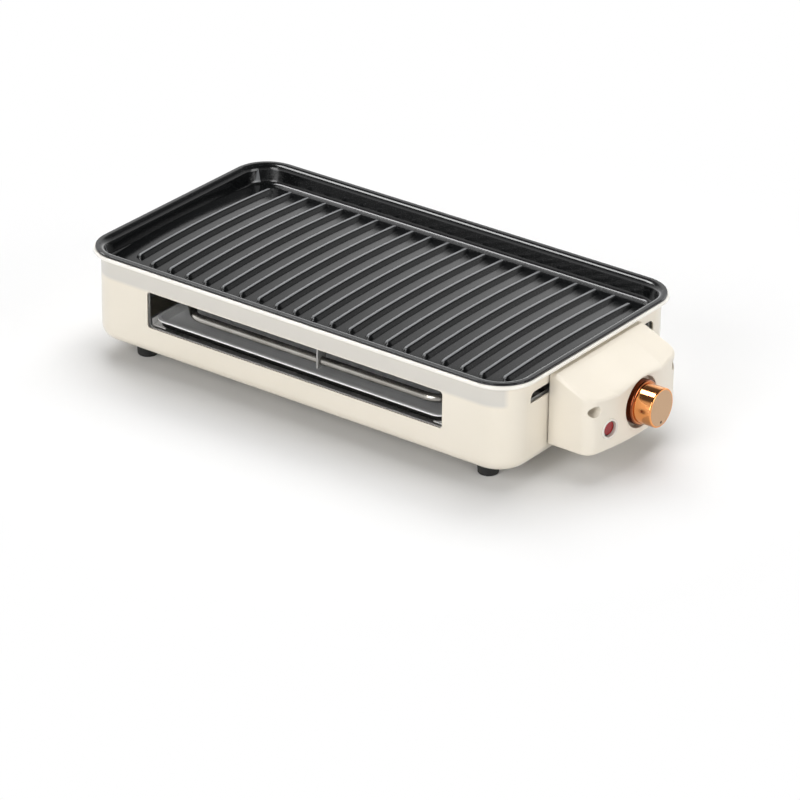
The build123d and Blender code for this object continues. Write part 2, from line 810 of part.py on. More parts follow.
with BuildPart() as case_outside:
    add(case_block(0, back_face))
    slope_face = case_outside.faces().filter_by(GeomType.PLANE).sort_by(Axis.Z)[-2]
    top_face = case_outside.faces().sort_by(Axis.Z)[-1]
    slope_edges = slope_face.edges().sort_by(Axis.X)[1:]
    top_side_edges = top_face.edges().filter_by(Axis.X)
    fillet(slope_edges + top_side_edges, crease_round)
    bottom_edges = case_outside.faces().sort_by(Axis.Z)[0].edges().sort_by(Axis.X)[1:]
    fillet(bottom_edges, case_bottom_round)

case_hollow = case_block(case_wall, back_face - cut_overrun)
lamp_plane = front_plane(lamp_y, lamp_height)
gland_x = back_face + gland_stand
gland_radius = gland_bore + gland_wall
bezel_radius = lens_radius + lens_fit + bezel_wall

with BuildPart() as case_bosses:
    with BuildSketch(Plane.YZ.offset(recess_floor - case_wall)):
        with Locations((0, knob_height)):
            Circle(recess_radius + case_wall)
    extrude(amount=recess_depth + case_wall)
    with BuildSketch(Plane.YZ.offset(boss_back)):
        with Locations(*well_places):
            Circle(well_radius + case_wall)
    extrude(amount=boss_depth)
    add(case_outside.part, mode=Mode.INTERSECT)

with BuildPart() as control_case:
    add(case_outside.part)
    add(case_hollow, mode=Mode.SUBTRACT)
    add(case_bosses.part)
    with BuildSketch(Plane.YZ.offset(recess_floor)):
        with Locations((0, knob_height)):
            Circle(recess_radius)
    extrude(amount=recess_depth + cut_overrun, mode=Mode.SUBTRACT)
    with BuildSketch(Plane.YZ.offset(recess_floor - case_wall)):
        with Locations((0, knob_height)):
            Circle(spindle_radius + spindle_hole_clear)
    extrude(amount=case_wall, mode=Mode.SUBTRACT)
    with BuildSketch(Plane.YZ.offset(well_floor)):
        with Locations(*well_places):
            Circle(well_radius)
    extrude(amount=well_depth, mode=Mode.SUBTRACT)
    with BuildSketch(Plane.YZ.offset(boss_back)):
        with Locations(*well_places):
            Circle(case_screw_radius + screw_clear)
    extrude(amount=well_floor - boss_back, mode=Mode.SUBTRACT)
    with BuildSketch(lamp_plane.offset(cut_overrun)):
        Circle(bezel_radius + bezel_fit)
    extrude(amount=-(case_wall + 2 * cut_overrun), mode=Mode.SUBTRACT)
    with BuildSketch(Plane.XZ.offset(-case_width / 2 - cut_overrun)):
        with Locations((gland_x, gland_height)):
            Circle(gland_radius + bezel_fit)
    extrude(amount=case_wall + 2 * cut_overrun, mode=Mode.SUBTRACT)

# Back plate, its screws, and the pillars that the case is screwed to
back_high = case_top - back_inset
with BuildPart() as control_back_plate:
    with BuildSketch(Plane.YZ.offset(wall_end)):
        with Locations((0, (back_low + back_high) / 2)):
            RectangleRounded(case_width - 2 * back_inset, back_high - back_low, back_corner)
        with Locations(*back_screw_places):
            Circle(back_screw_radius, mode=Mode.SUBTRACT)
        with Locations(*end_holes):
            Circle(bush_radius + bush_fit, mode=Mode.SUBTRACT)
        with Locations((0, slot_height)):
            Circle(sensor_hole_radius, mode=Mode.SUBTRACT)
    extrude(amount=back_sheet)

with BuildPart() as back_plate_screws:
    with BuildSketch(Plane.YZ.offset(back_face)):
        with Locations(*back_screw_places):
            Circle(back_screw_head_radius)
    extrude(amount=back_screw_head_depth)
    with BuildSketch(Plane.YZ.offset(back_face)):
        with Locations(*back_screw_places):
            Circle(back_screw_radius)
    extrude(amount=-(back_sheet + shell_sheet + liner_gap / 2))

with BuildPart() as case_pillars:
    with BuildSketch(Plane.YZ.offset(back_face)):
        with Locations(*well_places):
            Circle(pillar_radius)
            Circle(case_screw_radius, mode=Mode.SUBTRACT)
    extrude(amount=boss_back - back_face)

with BuildPart() as case_screws:
    with BuildSketch(Plane.YZ.offset(well_floor)):
        with Locations(*well_places):
            Circle(case_screw_head_radius)
    extrude(amount=case_screw_head_depth)
    with BuildSketch(Plane.YZ.offset(boss_back - case_screw_tail)):
        with Locations(*well_places):
            Circle(case_screw_radius)
    extrude(amount=case_screw_tail + well_floor - boss_back)
    extrude(
        drive_recess(
            Plane.YZ.offset(well_floor + case_screw_head_depth), well_places, case_screw_head_radius
        ),
        amount=-case_screw_head_depth / 2,
        mode=Mode.SUBTRACT,
    )

# Thermostat: bracket on the back plate, switch body with a threaded collar, nut and spindle
bracket_face = back_face + bracket_stand
bracket_front = bracket_face + bracket_sheet
bracket_low = knob_height - bracket_height / 2
bracket_half = bracket_width / 2 - bracket_sheet
bracket_flange = bracket_flange_share * (terminal_spread - bush_radius - bracket_half)
with BuildPart() as thermostat_bracket:
    with BuildSketch(Plane.XY.offset(bracket_low)):
        with Locations((bracket_face + bracket_sheet / 2, 0)):
            Rectangle(bracket_sheet, bracket_width)
        leg_y = (bracket_width - bracket_sheet) / 2
        with Locations(((back_face + bracket_front) / 2, -leg_y), ((back_face + bracket_front) / 2, leg_y)):
            Rectangle(bracket_front - back_face, bracket_sheet)
        flange_y = bracket_half + bracket_flange / 2
        with Locations((back_face + bracket_sheet / 2, -flange_y), (back_face + bracket_sheet / 2, flange_y)):
            Rectangle(bracket_sheet, bracket_flange)
    extrude(amount=bracket_height)
    with BuildSketch(Plane.YZ.offset(bracket_face)):
        with Locations((0, knob_height)):
            Circle(collar_radius + collar_fit)
    extrude(amount=bracket_sheet, mode=Mode.SUBTRACT)

spindle_start = bracket_face - spindle_seat
with BuildPart() as thermostat_body:
    with BuildSketch(Plane.YZ.offset(bracket_face - thermostat_depth)):
        with Locations((0, knob_height)):
            Rectangle(thermostat_width, thermostat_height)
    extrude(amount=thermostat_depth)
    fillet(thermostat_body.edges().filter_by(Axis.X), thermostat_round)
    with BuildSketch(Plane.YZ.offset(bracket_face)):
        with Locations((0, knob_height)):
            Circle(collar_radius)
    extrude(amount=collar_length)
    with BuildSketch(Plane.YZ.offset(spindle_start)):
        with Locations((0, knob_height)):
            Circle(spindle_radius + spindle_fit)
    extrude(amount=spindle_seat + collar_length, mode=Mode.SUBTRACT)

with BuildPart() as thermostat_nut:
    with BuildSketch(Plane.YZ.offset(bracket_front)):
        with Locations((0, knob_height)):
            RegularPolygon(collar_nut_radius, nut_sides)
            Circle(collar_radius + collar_fit, mode=Mode.SUBTRACT)
    extrude(amount=collar_nut_depth)

knob_back = recess_floor + knob_gap
knob_front = overall_length / 2
spindle_end = knob_back + knob_hub_bore
flat_start = recess_floor


def spindle_outline(plane, radius):
    """Round section with one flat, which faces up at rest."""
    with BuildSketch(plane) as outline:
        with Locations((0, knob_height)):
            Circle(radius)
        with Locations((0, knob_height + 2 * radius - spindle_flat)):
            Rectangle(2 * radius, 2 * radius, mode=Mode.SUBTRACT)
    return outline.sketch


with BuildPart() as thermostat_spindle:
    with BuildSketch(Plane.YZ.offset(spindle_start + spindle_fit)):
        with Locations((0, knob_height)):
            Circle(spindle_radius)
    extrude(amount=flat_start - spindle_start - spindle_fit)
    extrude(
        spindle_outline(Plane.YZ.offset(flat_start), spindle_radius), amount=spindle_end - flat_start
    )

# Knob: skirt and barrel, hollow from behind, with a hub for the spindle, and a disc on its front
with BuildPart() as knob:
    with BuildSketch(Plane.YZ.offset(knob_back)):
        with Locations((0, knob_height)):
            Circle(knob_skirt_radius)
    extrude(amount=knob_skirt_depth)
    fillet(knob.faces().sort_by(Axis.X)[-1].edges(), knob_skirt_round)
    with BuildSketch(Plane.YZ.offset(knob_back)):
        with Locations((0, knob_height)):
            Circle(knob_radius)
    extrude(amount=knob_front - knob_back)
    fillet(knob.faces().sort_by(Axis.X)[-1].edges(), knob_edge)
    with BuildSketch(Plane.YZ.offset(knob_back)):
        with Locations((0, knob_height)):
            Circle(knob_radius - knob_wall)
    extrude(amount=knob_front - knob_back - knob_face_depth - knob_wall, mode=Mode.SUBTRACT)
    with BuildSketch(Plane.YZ.offset(knob_back)):
        with Locations((0, knob_height)):
            Circle(knob_hub_radius)
    extrude(amount=knob_front - knob_back - knob_face_depth)
    extrude(
        spindle_outline(Plane.YZ.offset(knob_back), spindle_radius),
        amount=knob_hub_bore,
        mode=Mode.SUBTRACT,
    )
    with BuildSketch(Plane.YZ.offset(knob_front - knob_face_depth)):
        with Locations((0, knob_height)):
            Circle(knob_face_radius)
    extrude(amount=knob_face_depth, mode=Mode.SUBTRACT)

with BuildPart() as knob_face:
    with BuildSketch(Plane.YZ.offset(knob_front - knob_face_depth)):
        with Locations((0, knob_height)):
            Circle(knob_face_radius - knob_face_fit)
        with Locations((0, knob_height - dot_offset)):
            Circle(dot_radius, mode=Mode.SUBTRACT)
    extrude(amount=knob_face_depth)

# Sensor: thin tube from the thermostat through the slot, with its bulb close under the plate
sensor_x = bracket_face - thermostat_depth / 2
sensor_turn_x = wall_end - sensor_inset
with BuildPart() as sensor_tube:
    with BuildLine() as sensor_path:
        FilletPolyline(
            (sensor_x, 0, knob_height + thermostat_height / 2),
            (sensor_x, 0, slot_height),
            (sensor_turn_x, 0, slot_height),
            radius=sensor_bend,
        )
    with BuildSketch(Plane(origin=sensor_path.line @ 0, z_dir=sensor_path.line % 0)):
        Circle(sensor_tube_radius)
    sweep()
    with BuildSketch(Plane.YZ.offset(sensor_turn_x)):
        with Locations((0, slot_height)):
            Circle(sensor_bulb_radius)
    extrude(amount=-sensor_bulb_length)

# Indicator: pale bezel, red lens, lamp behind it and its two leads to the thermostat
with BuildPart() as indicator_bezel:
    with BuildSketch(lamp_plane):
        Circle(bezel_radius + bezel_flange)
    extrude(amount=bezel_flange_depth)
    fillet(indicator_bezel.edges().filter_by(GeomType.CIRCLE).sort_by(Axis.X)[-1], bezel_flange_depth / 2)
    with BuildSketch(lamp_plane):
        Circle(bezel_radius)
    extrude(amount=-bezel_length)
    with BuildSketch(lamp_plane.offset(-bezel_length)):
        Circle(lens_radius + lens_fit)
    extrude(amount=bezel_length + bezel_flange_depth, mode=Mode.SUBTRACT)

with BuildPart() as indicator_lens:
    with BuildSketch(lamp_plane.offset(-lens_sink - lens_depth)):
        Circle(lens_radius)
    extrude(amount=lens_depth)
    fillet(indicator_lens.faces().sort_by(Axis.X)[-1].edges(), lens_round)

lamp_front_depth = lens_sink + lens_depth
with BuildPart() as indicator_lamp:
    with BuildSketch(lamp_plane.offset(-lamp_front_depth)):
        Circle(lamp_radius)
    extrude(amount=-lamp_length)

lamp_back = lamp_plane.offset(-lamp_front_depth - lamp_length)
lead_corner = lamp_back.offset(-lead_run).origin
with BuildPart() as lamp_leads:
    for number in range(2):
        lead_height = lamp_height - lead_drop + number * lead_spread
        with BuildLine() as lead_path:
            FilletPolyline(
                (lamp_back.origin.X, lamp_back.origin.Y, lead_height),
                (lead_corner.X, lead_corner.Y, lead_height),
                (lead_corner.X, -thermostat_width / 2, lead_height),
                radius=lead_bend,
            )
        with BuildSketch(Plane(origin=lead_path.line @ 0, z_dir=lead_path.line % 0)):
            Circle(lead_radius)
        sweep(path=lead_path.line)

# Terminal block on the back plate, and the wires to the thermostat and the element
block_top = block_bottom + block_height
block_side = supply_spread + supply_run
block_width = terminal_spread + block_land - block_side
block_y = block_side + block_width / 2
block_screw_pitch = block_width / block_ways
with BuildPart() as terminal_block:
    with BuildSketch(Plane.XY.offset(block_bottom)):
        with Locations((back_face + block_depth / 2, block_y)):
            Rectangle(block_depth, block_width)
    extrude(amount=block_height)
    with BuildSketch(Plane.YZ.offset(back_face + block_depth)):
        with Locations((block_y, block_bottom + block_height / 2)):
            with GridLocations(block_screw_pitch, 0, block_ways, 1):
                Circle(block_screw_radius)
    extrude(amount=-block_screw_depth, mode=Mode.SUBTRACT)

wire_height = block_bottom + block_height / 2
thermostat_under = knob_height - thermostat_height / 2
ferrule_x = element_end + pin_length + ferrule_length / 2
ferrule_under = element_height - ferrule_width / 2


def wire(points):
    """Insulated wire along straight runs joined by bends."""
    with BuildPart() as run:
        with BuildLine() as path:
            FilletPolyline(*points, radius=wire_bend)
        with BuildSketch(Plane(origin=path.line @ 0, z_dir=path.line % 0)):
            Circle(wire_radius)
        sweep()
    return run.part


wire_supply = wire(
    [
        (sensor_x, block_side, wire_height),
        (sensor_x, supply_spread, wire_height),
        (sensor_x, supply_spread, thermostat_under),
    ]
)
wire_live = wire(
    [
        (ferrule_x, -supply_spread, thermostat_under),
        (ferrule_x, -supply_spread, wire_height),
        (ferrule_x, -terminal_spread, wire_height),
        (ferrule_x, -terminal_spread, ferrule_under),
    ]
)
fuse_bottom = (block_top + ferrule_under - fuse_length) / 2
with BuildPart() as wire_neutral:
    with BuildSketch(Plane((ferrule_x, terminal_spread, block_top))):
        Circle(wire_radius)
    extrude(amount=fuse_bottom - block_top)
    with BuildSketch(Plane((ferrule_x, terminal_spread, fuse_bottom + fuse_length))):
        Circle(wire_radius)
    extrude(amount=ferrule_under - fuse_bottom - fuse_length)

with BuildPart() as thermal_fuse:
    with BuildSketch(Plane((ferrule_x, terminal_spread, fuse_bottom))):
        Circle(fuse_radius)
    extrude(amount=fuse_length)
    fillet(thermal_fuse.edges().filter_by(GeomType.CIRCLE), fuse_radius - wire_radius)

# Cord gland: rubber bush in the rear side of the case
gland_outside = Plane.XZ.offset(-case_width / 2)
with BuildPart() as cord_gland:
    with BuildSketch(gland_outside):
        with Locations((gland_x, gland_height)):
            Circle(gland_radius + gland_flange)
    extrude(amount=-gland_flange_depth)
    fillet(cord_gland.faces().sort_by(Axis.Y)[-1].edges(), gland_flange_depth / 2)
    with BuildSketch(gland_outside):
        with Locations((gland_x, gland_height)):
            Circle(gland_radius)
    extrude(amount=case_wall)
    with BuildSketch(gland_outside.offset(case_wall)):
        with Locations((gland_x, gland_height)):
            Circle(gland_radius + gland_flange)
    extrude(amount=gland_flange_depth)
    with BuildSketch(gland_outside.offset(case_wall + gland_flange_depth)):
        with Locations((gland_x, gland_height)):
            Circle(gland_bore)
    extrude(amount=-(case_wall + 2 * gland_flange_depth), mode=Mode.SUBTRACT)

pieces = {
    "body_shell": body_shell.part,
    "base_plate": base_plate.part,
    "base_screws": base_screws.part,
    "foot_screws": foot_screws.part,
    "foot_nuts": foot_nuts.part,
    **foot_parts,
    "heat_liner": heat_liner.part,
    "drip_tray": drip_tray.part,
    **runner_parts,
    "runner_rivets": runner_rivets.part,
    "grill_plate": grill_plate.part,
    "heating_element": heating_element.part,
    "terminal_bushes": terminal_bushes.part,
    "element_pins": element_pins.part,
    "element_hanger": element_hanger.part,
    "control_case": control_case.part,
    "control_back_plate": control_back_plate.part,
    "back_plate_screws": back_plate_screws.part,
    "case_pillars": case_pillars.part,
    "case_screws": case_screws.part,
    "thermostat_bracket": thermostat_bracket.part,
    "thermostat_body": thermostat_body.part,
    "thermostat_nut": thermostat_nut.part,
    "thermostat_spindle": thermostat_spindle.part,
    "sensor_tube": sensor_tube.part,
    "knob": knob.part,
    "knob_face": knob_face.part,
    "indicator_bezel": indicator_bezel.part,
    "indicator_lens": indicator_lens.part,
    "indicator_lamp": indicator_lamp.part,
    "lamp_leads": lamp_leads.part,
    "terminal_block": terminal_block.part,
    "wire_supply": wire_supply,
    "wire_live": wire_live,
    "wire_neutral": wire_neutral.part,
    "thermal_fuse": thermal_fuse.part,
    "cord_gland": cord_gland.part,
}
for name, piece in pieces.items():
    piece.label = name
    export_step(piece, "parts/" + name + ".step")
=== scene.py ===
"""Looks of an indoor electric grill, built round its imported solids. Lengths are in metres."""

import logging
import math
from dataclasses import dataclass
from enum import Enum

import bmesh
import bpy
from mathutils import Matrix, Vector
from mathutils.bvhtree import BVHTree


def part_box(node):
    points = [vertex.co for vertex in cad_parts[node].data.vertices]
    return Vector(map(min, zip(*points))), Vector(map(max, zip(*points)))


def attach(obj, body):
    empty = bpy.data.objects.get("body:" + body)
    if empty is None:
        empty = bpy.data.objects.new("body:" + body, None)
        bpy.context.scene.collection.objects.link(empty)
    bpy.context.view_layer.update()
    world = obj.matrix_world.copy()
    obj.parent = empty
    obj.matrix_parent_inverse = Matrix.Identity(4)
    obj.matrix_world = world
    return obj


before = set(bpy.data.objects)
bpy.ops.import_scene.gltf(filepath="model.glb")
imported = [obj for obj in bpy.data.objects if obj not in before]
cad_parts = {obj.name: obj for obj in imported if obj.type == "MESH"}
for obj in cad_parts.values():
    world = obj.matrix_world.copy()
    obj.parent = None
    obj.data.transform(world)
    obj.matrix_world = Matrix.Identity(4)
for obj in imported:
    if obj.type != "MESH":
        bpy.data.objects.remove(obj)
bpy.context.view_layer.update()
MM = 0.001
BODY_X = -27.65 * MM  # middle of the body along its length
DIAL_Z = 50.4 * MM  # height of the knob's axis
MERGE_GAP = 1e-6  # points nearer than this become one
WAVE_PHASE = 20  # radians per unit of the wave texture, at a scale of one
NOISE_ROUGHNESS = 0.55  # strength of each finer layer of a noise
TONE_LEVELS = (0.3, 0.7)  # noise levels of the darkest and the palest tone
GLOSS_LEVELS = (0.25, 0.75)  # noise levels of the glossiest and the dullest patch
# Sockets of the mix node: its share, the two numbers or colours that it mixes, and what comes out
SHARE, NUMBER_A, NUMBER_B, COLOUR_A, COLOUR_B = 0, 2, 3, 6, 7
NUMBER_OUT, COLOUR_OUT = 0, 2
log = logging.getLogger("grill")

Colour = tuple[float, float, float, float]
Point = tuple[float, float, float]
Tree = bpy.types.NodeTree
Node = bpy.types.Node
Socket = bpy.types.NodeSocket
Limit = tuple[Socket, float, float]


class Body(str, Enum):
    """Bodies of the grill that new pieces ride on."""

    HOUSING = "housing"
    DIAL = "dial"


class Lights(Enum):
    """What a lamp lights: matt surfaces, mirrors or both."""

    DIFFUSE = "diffuse"
    GLOSS = "gloss"
    BOTH = "both"


class Axis(Enum):
    """Directions that a streak may follow."""

    X = "X"
    Y = "Y"
    Z = "Z"


class Detail(Enum):
    """How many finer layers a noise has."""

    PLAIN = 1.0
    SOFT = 2.0
    FINE = 3.0
    SHARP = 4.0


def linear(code: str) -> Colour:
    """Turns an sRGB hex colour to linear light.

    Args:
        code: Six hex digits.

    Returns:
        Linear red, green and blue, and an alpha of one.
    """
    parts = [int(code[at : at + 2], 16) / 255 for at in (0, 2, 4)]
    red, green, blue = (
        part / 12.92 if part <= 0.04045 else ((part + 0.055) / 1.055) ** 2.4 for part in parts
    )
    return (red, green, blue, 1.0)


def grey(level: float) -> Colour:
    """Gives a plain grey, for ramps that steer a number."""
    return (level, level, level, 1.0)


def per_metre(size_mm: float) -> float:
    """Gives the texture scale at which a pattern repeats about every size_mm millimetres."""
    return 1 / (size_mm * MM)


def wave_scale(size_mm: float) -> float:
    """Gives the wave texture scale at which its bands repeat every size_mm millimetres."""
    return 2 * math.pi / (WAVE_PHASE * size_mm * MM)


def add_node(
    tree: Tree,
    kind: str,
    inputs: dict | None = None,
    stops: list[tuple[float, Colour]] | None = None,
    **settings: object,
) -> Node:
    """Adds a node with its settings, values and links.

    Args:
        tree: Node tree that gets the node.
        kind: Blender's type name of the node.
        inputs: Values or output sockets, by input name or number.
        stops: Positions and colours of a colour ramp, two or more, in order.
        settings: Properties of the node.

    Returns:
        The new node.
    """
    made = tree.nodes.new(kind)
    for name, value in settings.items():
        setattr(made, name, value)
    for key, value in (inputs or {}).items():
        socket = made.inputs[key]
        if isinstance(value, Socket):
            tree.links.new(value, socket)
        else:
            socket.default_value = value
    for number, (position, colour) in enumerate(stops or []):
        elements = made.color_ramp.elements
        element = elements[number] if number < len(elements) else elements.new(position)
        element.position = position
        element.color = colour
    return made


@dataclass(frozen=True)
class Finish:
    """A surface finish; each kind draws its own pattern on the shader.

    Attributes:
        name: Name of the material, after the real one.
        colour: Main colour, sRGB hex.
        shade: Colour of the darker patches, sRGB hex.
        roughness: Middle roughness of the surface.
        spread: How far the roughness goes either way.
        metallic: How far it mirrors as a metal does.
        ior: Index of refraction; a metal keeps the default.
        coat: Weight of a clear gloss on top.
        coat_roughness: Roughness of that gloss.
    """

    name: str
    colour: str
    shade: str
    roughness: float
    spread: float = 0.04
    metallic: float = 0.0
    ior: float = 1.5
    coat: float = 0.0
    coat_roughness: float = 0.03

    def material(self) -> bpy.types.Material:
        """Makes the material.

        Returns:
            The material with its finished node tree.
        """
        made = bpy.data.materials.new(self.name)
        made.use_nodes = True
        tree = made.node_tree
        shader = tree.nodes["Principled BSDF"]
        constants = {
            "Roughness": self.roughness,
            "Metallic": self.metallic,
            "IOR": self.ior,
            "Coat Weight": self.coat,
            "Coat Roughness": self.coat_roughness,
        }
        for socket, value in constants.items():
            shader.inputs[socket].default_value = value
        self.draw(tree, shader)
        return made

    def draw(self, tree: Tree, shader: Node) -> None:
        """Draws the pattern of the finish; each kind has its own."""
        raise NotImplementedError

    def place(
        self, tree: Tree, scale: Point = (1.0, 1.0, 1.0), middle: Point = (0.0, 0.0, 0.0)
    ) -> Socket:
        """Gives object coordinates, centred and stretched.

        Args:
            tree: Node tree of the material.
            scale: Stretch along each axis.
            middle: Point that the pattern is centred on.

        Returns:
            The coordinates.
        """
        spot = add_node(tree, "ShaderNodeTexCoord").outputs["Object"]
        shift = tuple(-part * by for part, by in zip(middle, scale))
        inputs = {"Vector": spot, "Location": shift, "Scale": scale}
        return add_node(tree, "ShaderNodeMapping", inputs).outputs["Vector"]

    def patches(self, tree: Tree, spot: Socket, size_mm: float, detail: Detail) -> Socket:
        """Draws soft patches.

        Args:
            tree: Node tree of the material.
            spot: Coordinates that they lie on.
            size_mm: About how large they are, in millimetres.
            detail: How many finer layers they have.

        Returns:
            Their level.
        """
        inputs = {
            "Vector": spot,
            "Scale": per_metre(size_mm),
            "Detail": detail.value,
            "Roughness": NOISE_ROUGHNESS,
        }
        return add_node(tree, "ShaderNodeTexNoise", inputs).outputs["Fac"]

    def tones(self, tree: Tree, level: Socket) -> Socket:
        """Gives the tones between shade and colour by a level."""
        stops = list(zip(TONE_LEVELS, (linear(self.shade), linear(self.colour))))
        return add_node(tree, "ShaderNodeValToRGB", {"Fac": level}, stops).outputs["Color"]

    def tint(self, tree: Tree, shader: Node, level: Socket) -> None:
        """Colours the shader between shade and colour by a level."""
        tree.links.new(self.tones(tree, level), shader.inputs["Base Color"])

    def polish(self, tree: Tree, shader: Node, level: Socket) -> None:
        """Spreads the shader's roughness by a level.

        Args:
            tree: Node tree of the material.
            shader: Its principled shader.
            level: Low where the surface is glossier.
        """
        greys = (grey(self.roughness - self.spread), grey(self.roughness + self.spread))
        stops = list(zip(GLOSS_LEVELS, greys))
        ramp = add_node(tree, "ShaderNodeValToRGB", {"Fac": level}, stops)
        tree.links.new(ramp.outputs["Color"], shader.inputs["Roughness"])

    def emboss(self, tree: Tree, shader: Node, level: Socket, depth_mm: float) -> None:
        """Raises the surface by a level, depth_mm millimetres deep.

        Args:
            tree: Node tree of the material.
            shader: Its principled shader.
            level: High where the surface is raised.
            depth_mm: Height of the relief in millimetres.
        """
        inputs = {"Height": level, "Distance": depth_mm * MM, "Strength": 1.0}
        bump = add_node(tree, "ShaderNodeBump", inputs)
        tree.links.new(bump.outputs["Normal"], shader.inputs["Normal"])

    def mask(self, tree: Tree, limits: list[Limit]) -> Socket:
        """Marks where every value has gone from its start to its end.

        Args:
            tree: Node tree of the material.
            limits: Values, each with the start and the end of its soft step.

        Returns:
            One inside all limits and zero outside any.
        """
        mark = 1.0
        for value, start, end in limits:
            inputs = {"Value": value, "From Min": start, "From Max": end}
            step = add_node(tree, "ShaderNodeMapRange", inputs).outputs["Result"]
            mark = add_node(tree, "ShaderNodeMath", {0: mark, 1: step}, operation="MULTIPLY").outputs[0]
        return mark

    def paint(self, tree: Tree, under: Socket | Colour, over: str, limits: list[Limit]) -> Socket:
        """Paints a colour over another, inside soft limits.

        Args:
            tree: Node tree of the material.
            under: Colour below.
            over: Colour on top, sRGB hex.
            limits: Values, each with the start and the end of its soft step.

        Returns:
            The painted colour.
        """
        inputs = {SHARE: self.mask(tree, limits), COLOUR_A: under, COLOUR_B: linear(over)}
        return add_node(tree, "ShaderNodeMix", inputs, data_type="RGBA").outputs[COLOUR_OUT]


@dataclass(frozen=True)
class StovedEnamel(Finish):
    """Sprayed and stoved enamel on steel: satin gloss with a faint orange peel.

    A band under the lip's front is painted greyer as shade, and the lip's bead is painted pale as a
    highlight.
    """

    coat: float = 0.5
    coat_roughness: float = 0.08
    peel_mm: float = 2.2
    peel_depth_mm: float = 0.012
    cloud_mm: float = 90.0
    # painted shade in a band under the lip's front, and a painted highlight on the lip's bead
    lip_shade: str = "cfcbc3"
    bead_highlight: str = "f3efe7"
    band_low: float = 67.5 * MM
    band_high: float = 84.6 * MM
    band_front: float = -98.0 * MM
    band_soft: float = 3.0 * MM
    bead_soft: float = 0.6 * MM

    def draw(self, tree: Tree, shader: Node) -> None:
        """Draws slow clouds of tone, the painted shade under the lip, the painted highlight on the bead
        and the orange peel.

        Args:
            tree: Node tree of the material.
            shader: Its principled shader.
        """
        spot = self.place(tree)
        parts = add_node(tree, "ShaderNodeSeparateXYZ", {"Vector": spot}).outputs
        clouds = self.patches(tree, spot, self.cloud_mm, Detail.SOFT)
        bead_low = self.band_high + self.bead_soft
        # the greyer band under the lip's front is painted shade
        lip_shade_area = [
            (parts["Z"], self.band_low, self.band_low + self.band_soft),
            (parts["Z"], bead_low, self.band_high),
            (parts["Y"], self.band_front, self.band_front - self.band_soft),
        ]
        coat = self.paint(tree, self.tones(tree, clouds), self.lip_shade, lip_shade_area)
        # the pale bead on the lip is a painted highlight
        whole = self.paint(tree, coat, self.bead_highlight, [(parts["Z"], self.band_high, bead_low)])
        tree.links.new(whole, shader.inputs["Base Color"])
        self.polish(tree, shader, clouds)
        peel = self.patches(tree, spot, self.peel_mm, Detail.PLAIN)
        self.emboss(tree, shader, peel, self.peel_depth_mm)


@dataclass(frozen=True)
class MouldedPlastic(Finish):
    """Injection-moulded plastic: even colour with the fine grain of an eroded mould."""

    ior: float = 1.53
    flow_mm: float = 45.0
    grain_mm: float = 0.9  # real grain is about 0.2 mm, drawn coarser to show
    grain_depth_mm: float = 0.010

    def draw(self, tree: Tree, shader: Node) -> None:
        """Draws the mould's grain and faint flow patches.

        Args:
            tree: Node tree of the material.
            shader: Its principled shader.
        """
        spot = self.place(tree)
        flow = self.patches(tree, spot, self.flow_mm, Detail.SOFT)
        self.tint(tree, shader, flow)
        self.polish(tree, shader, flow)
        grain = self.patches(tree, spot, self.grain_mm, Detail.SOFT)
        self.emboss(tree, shader, grain, self.grain_depth_mm)


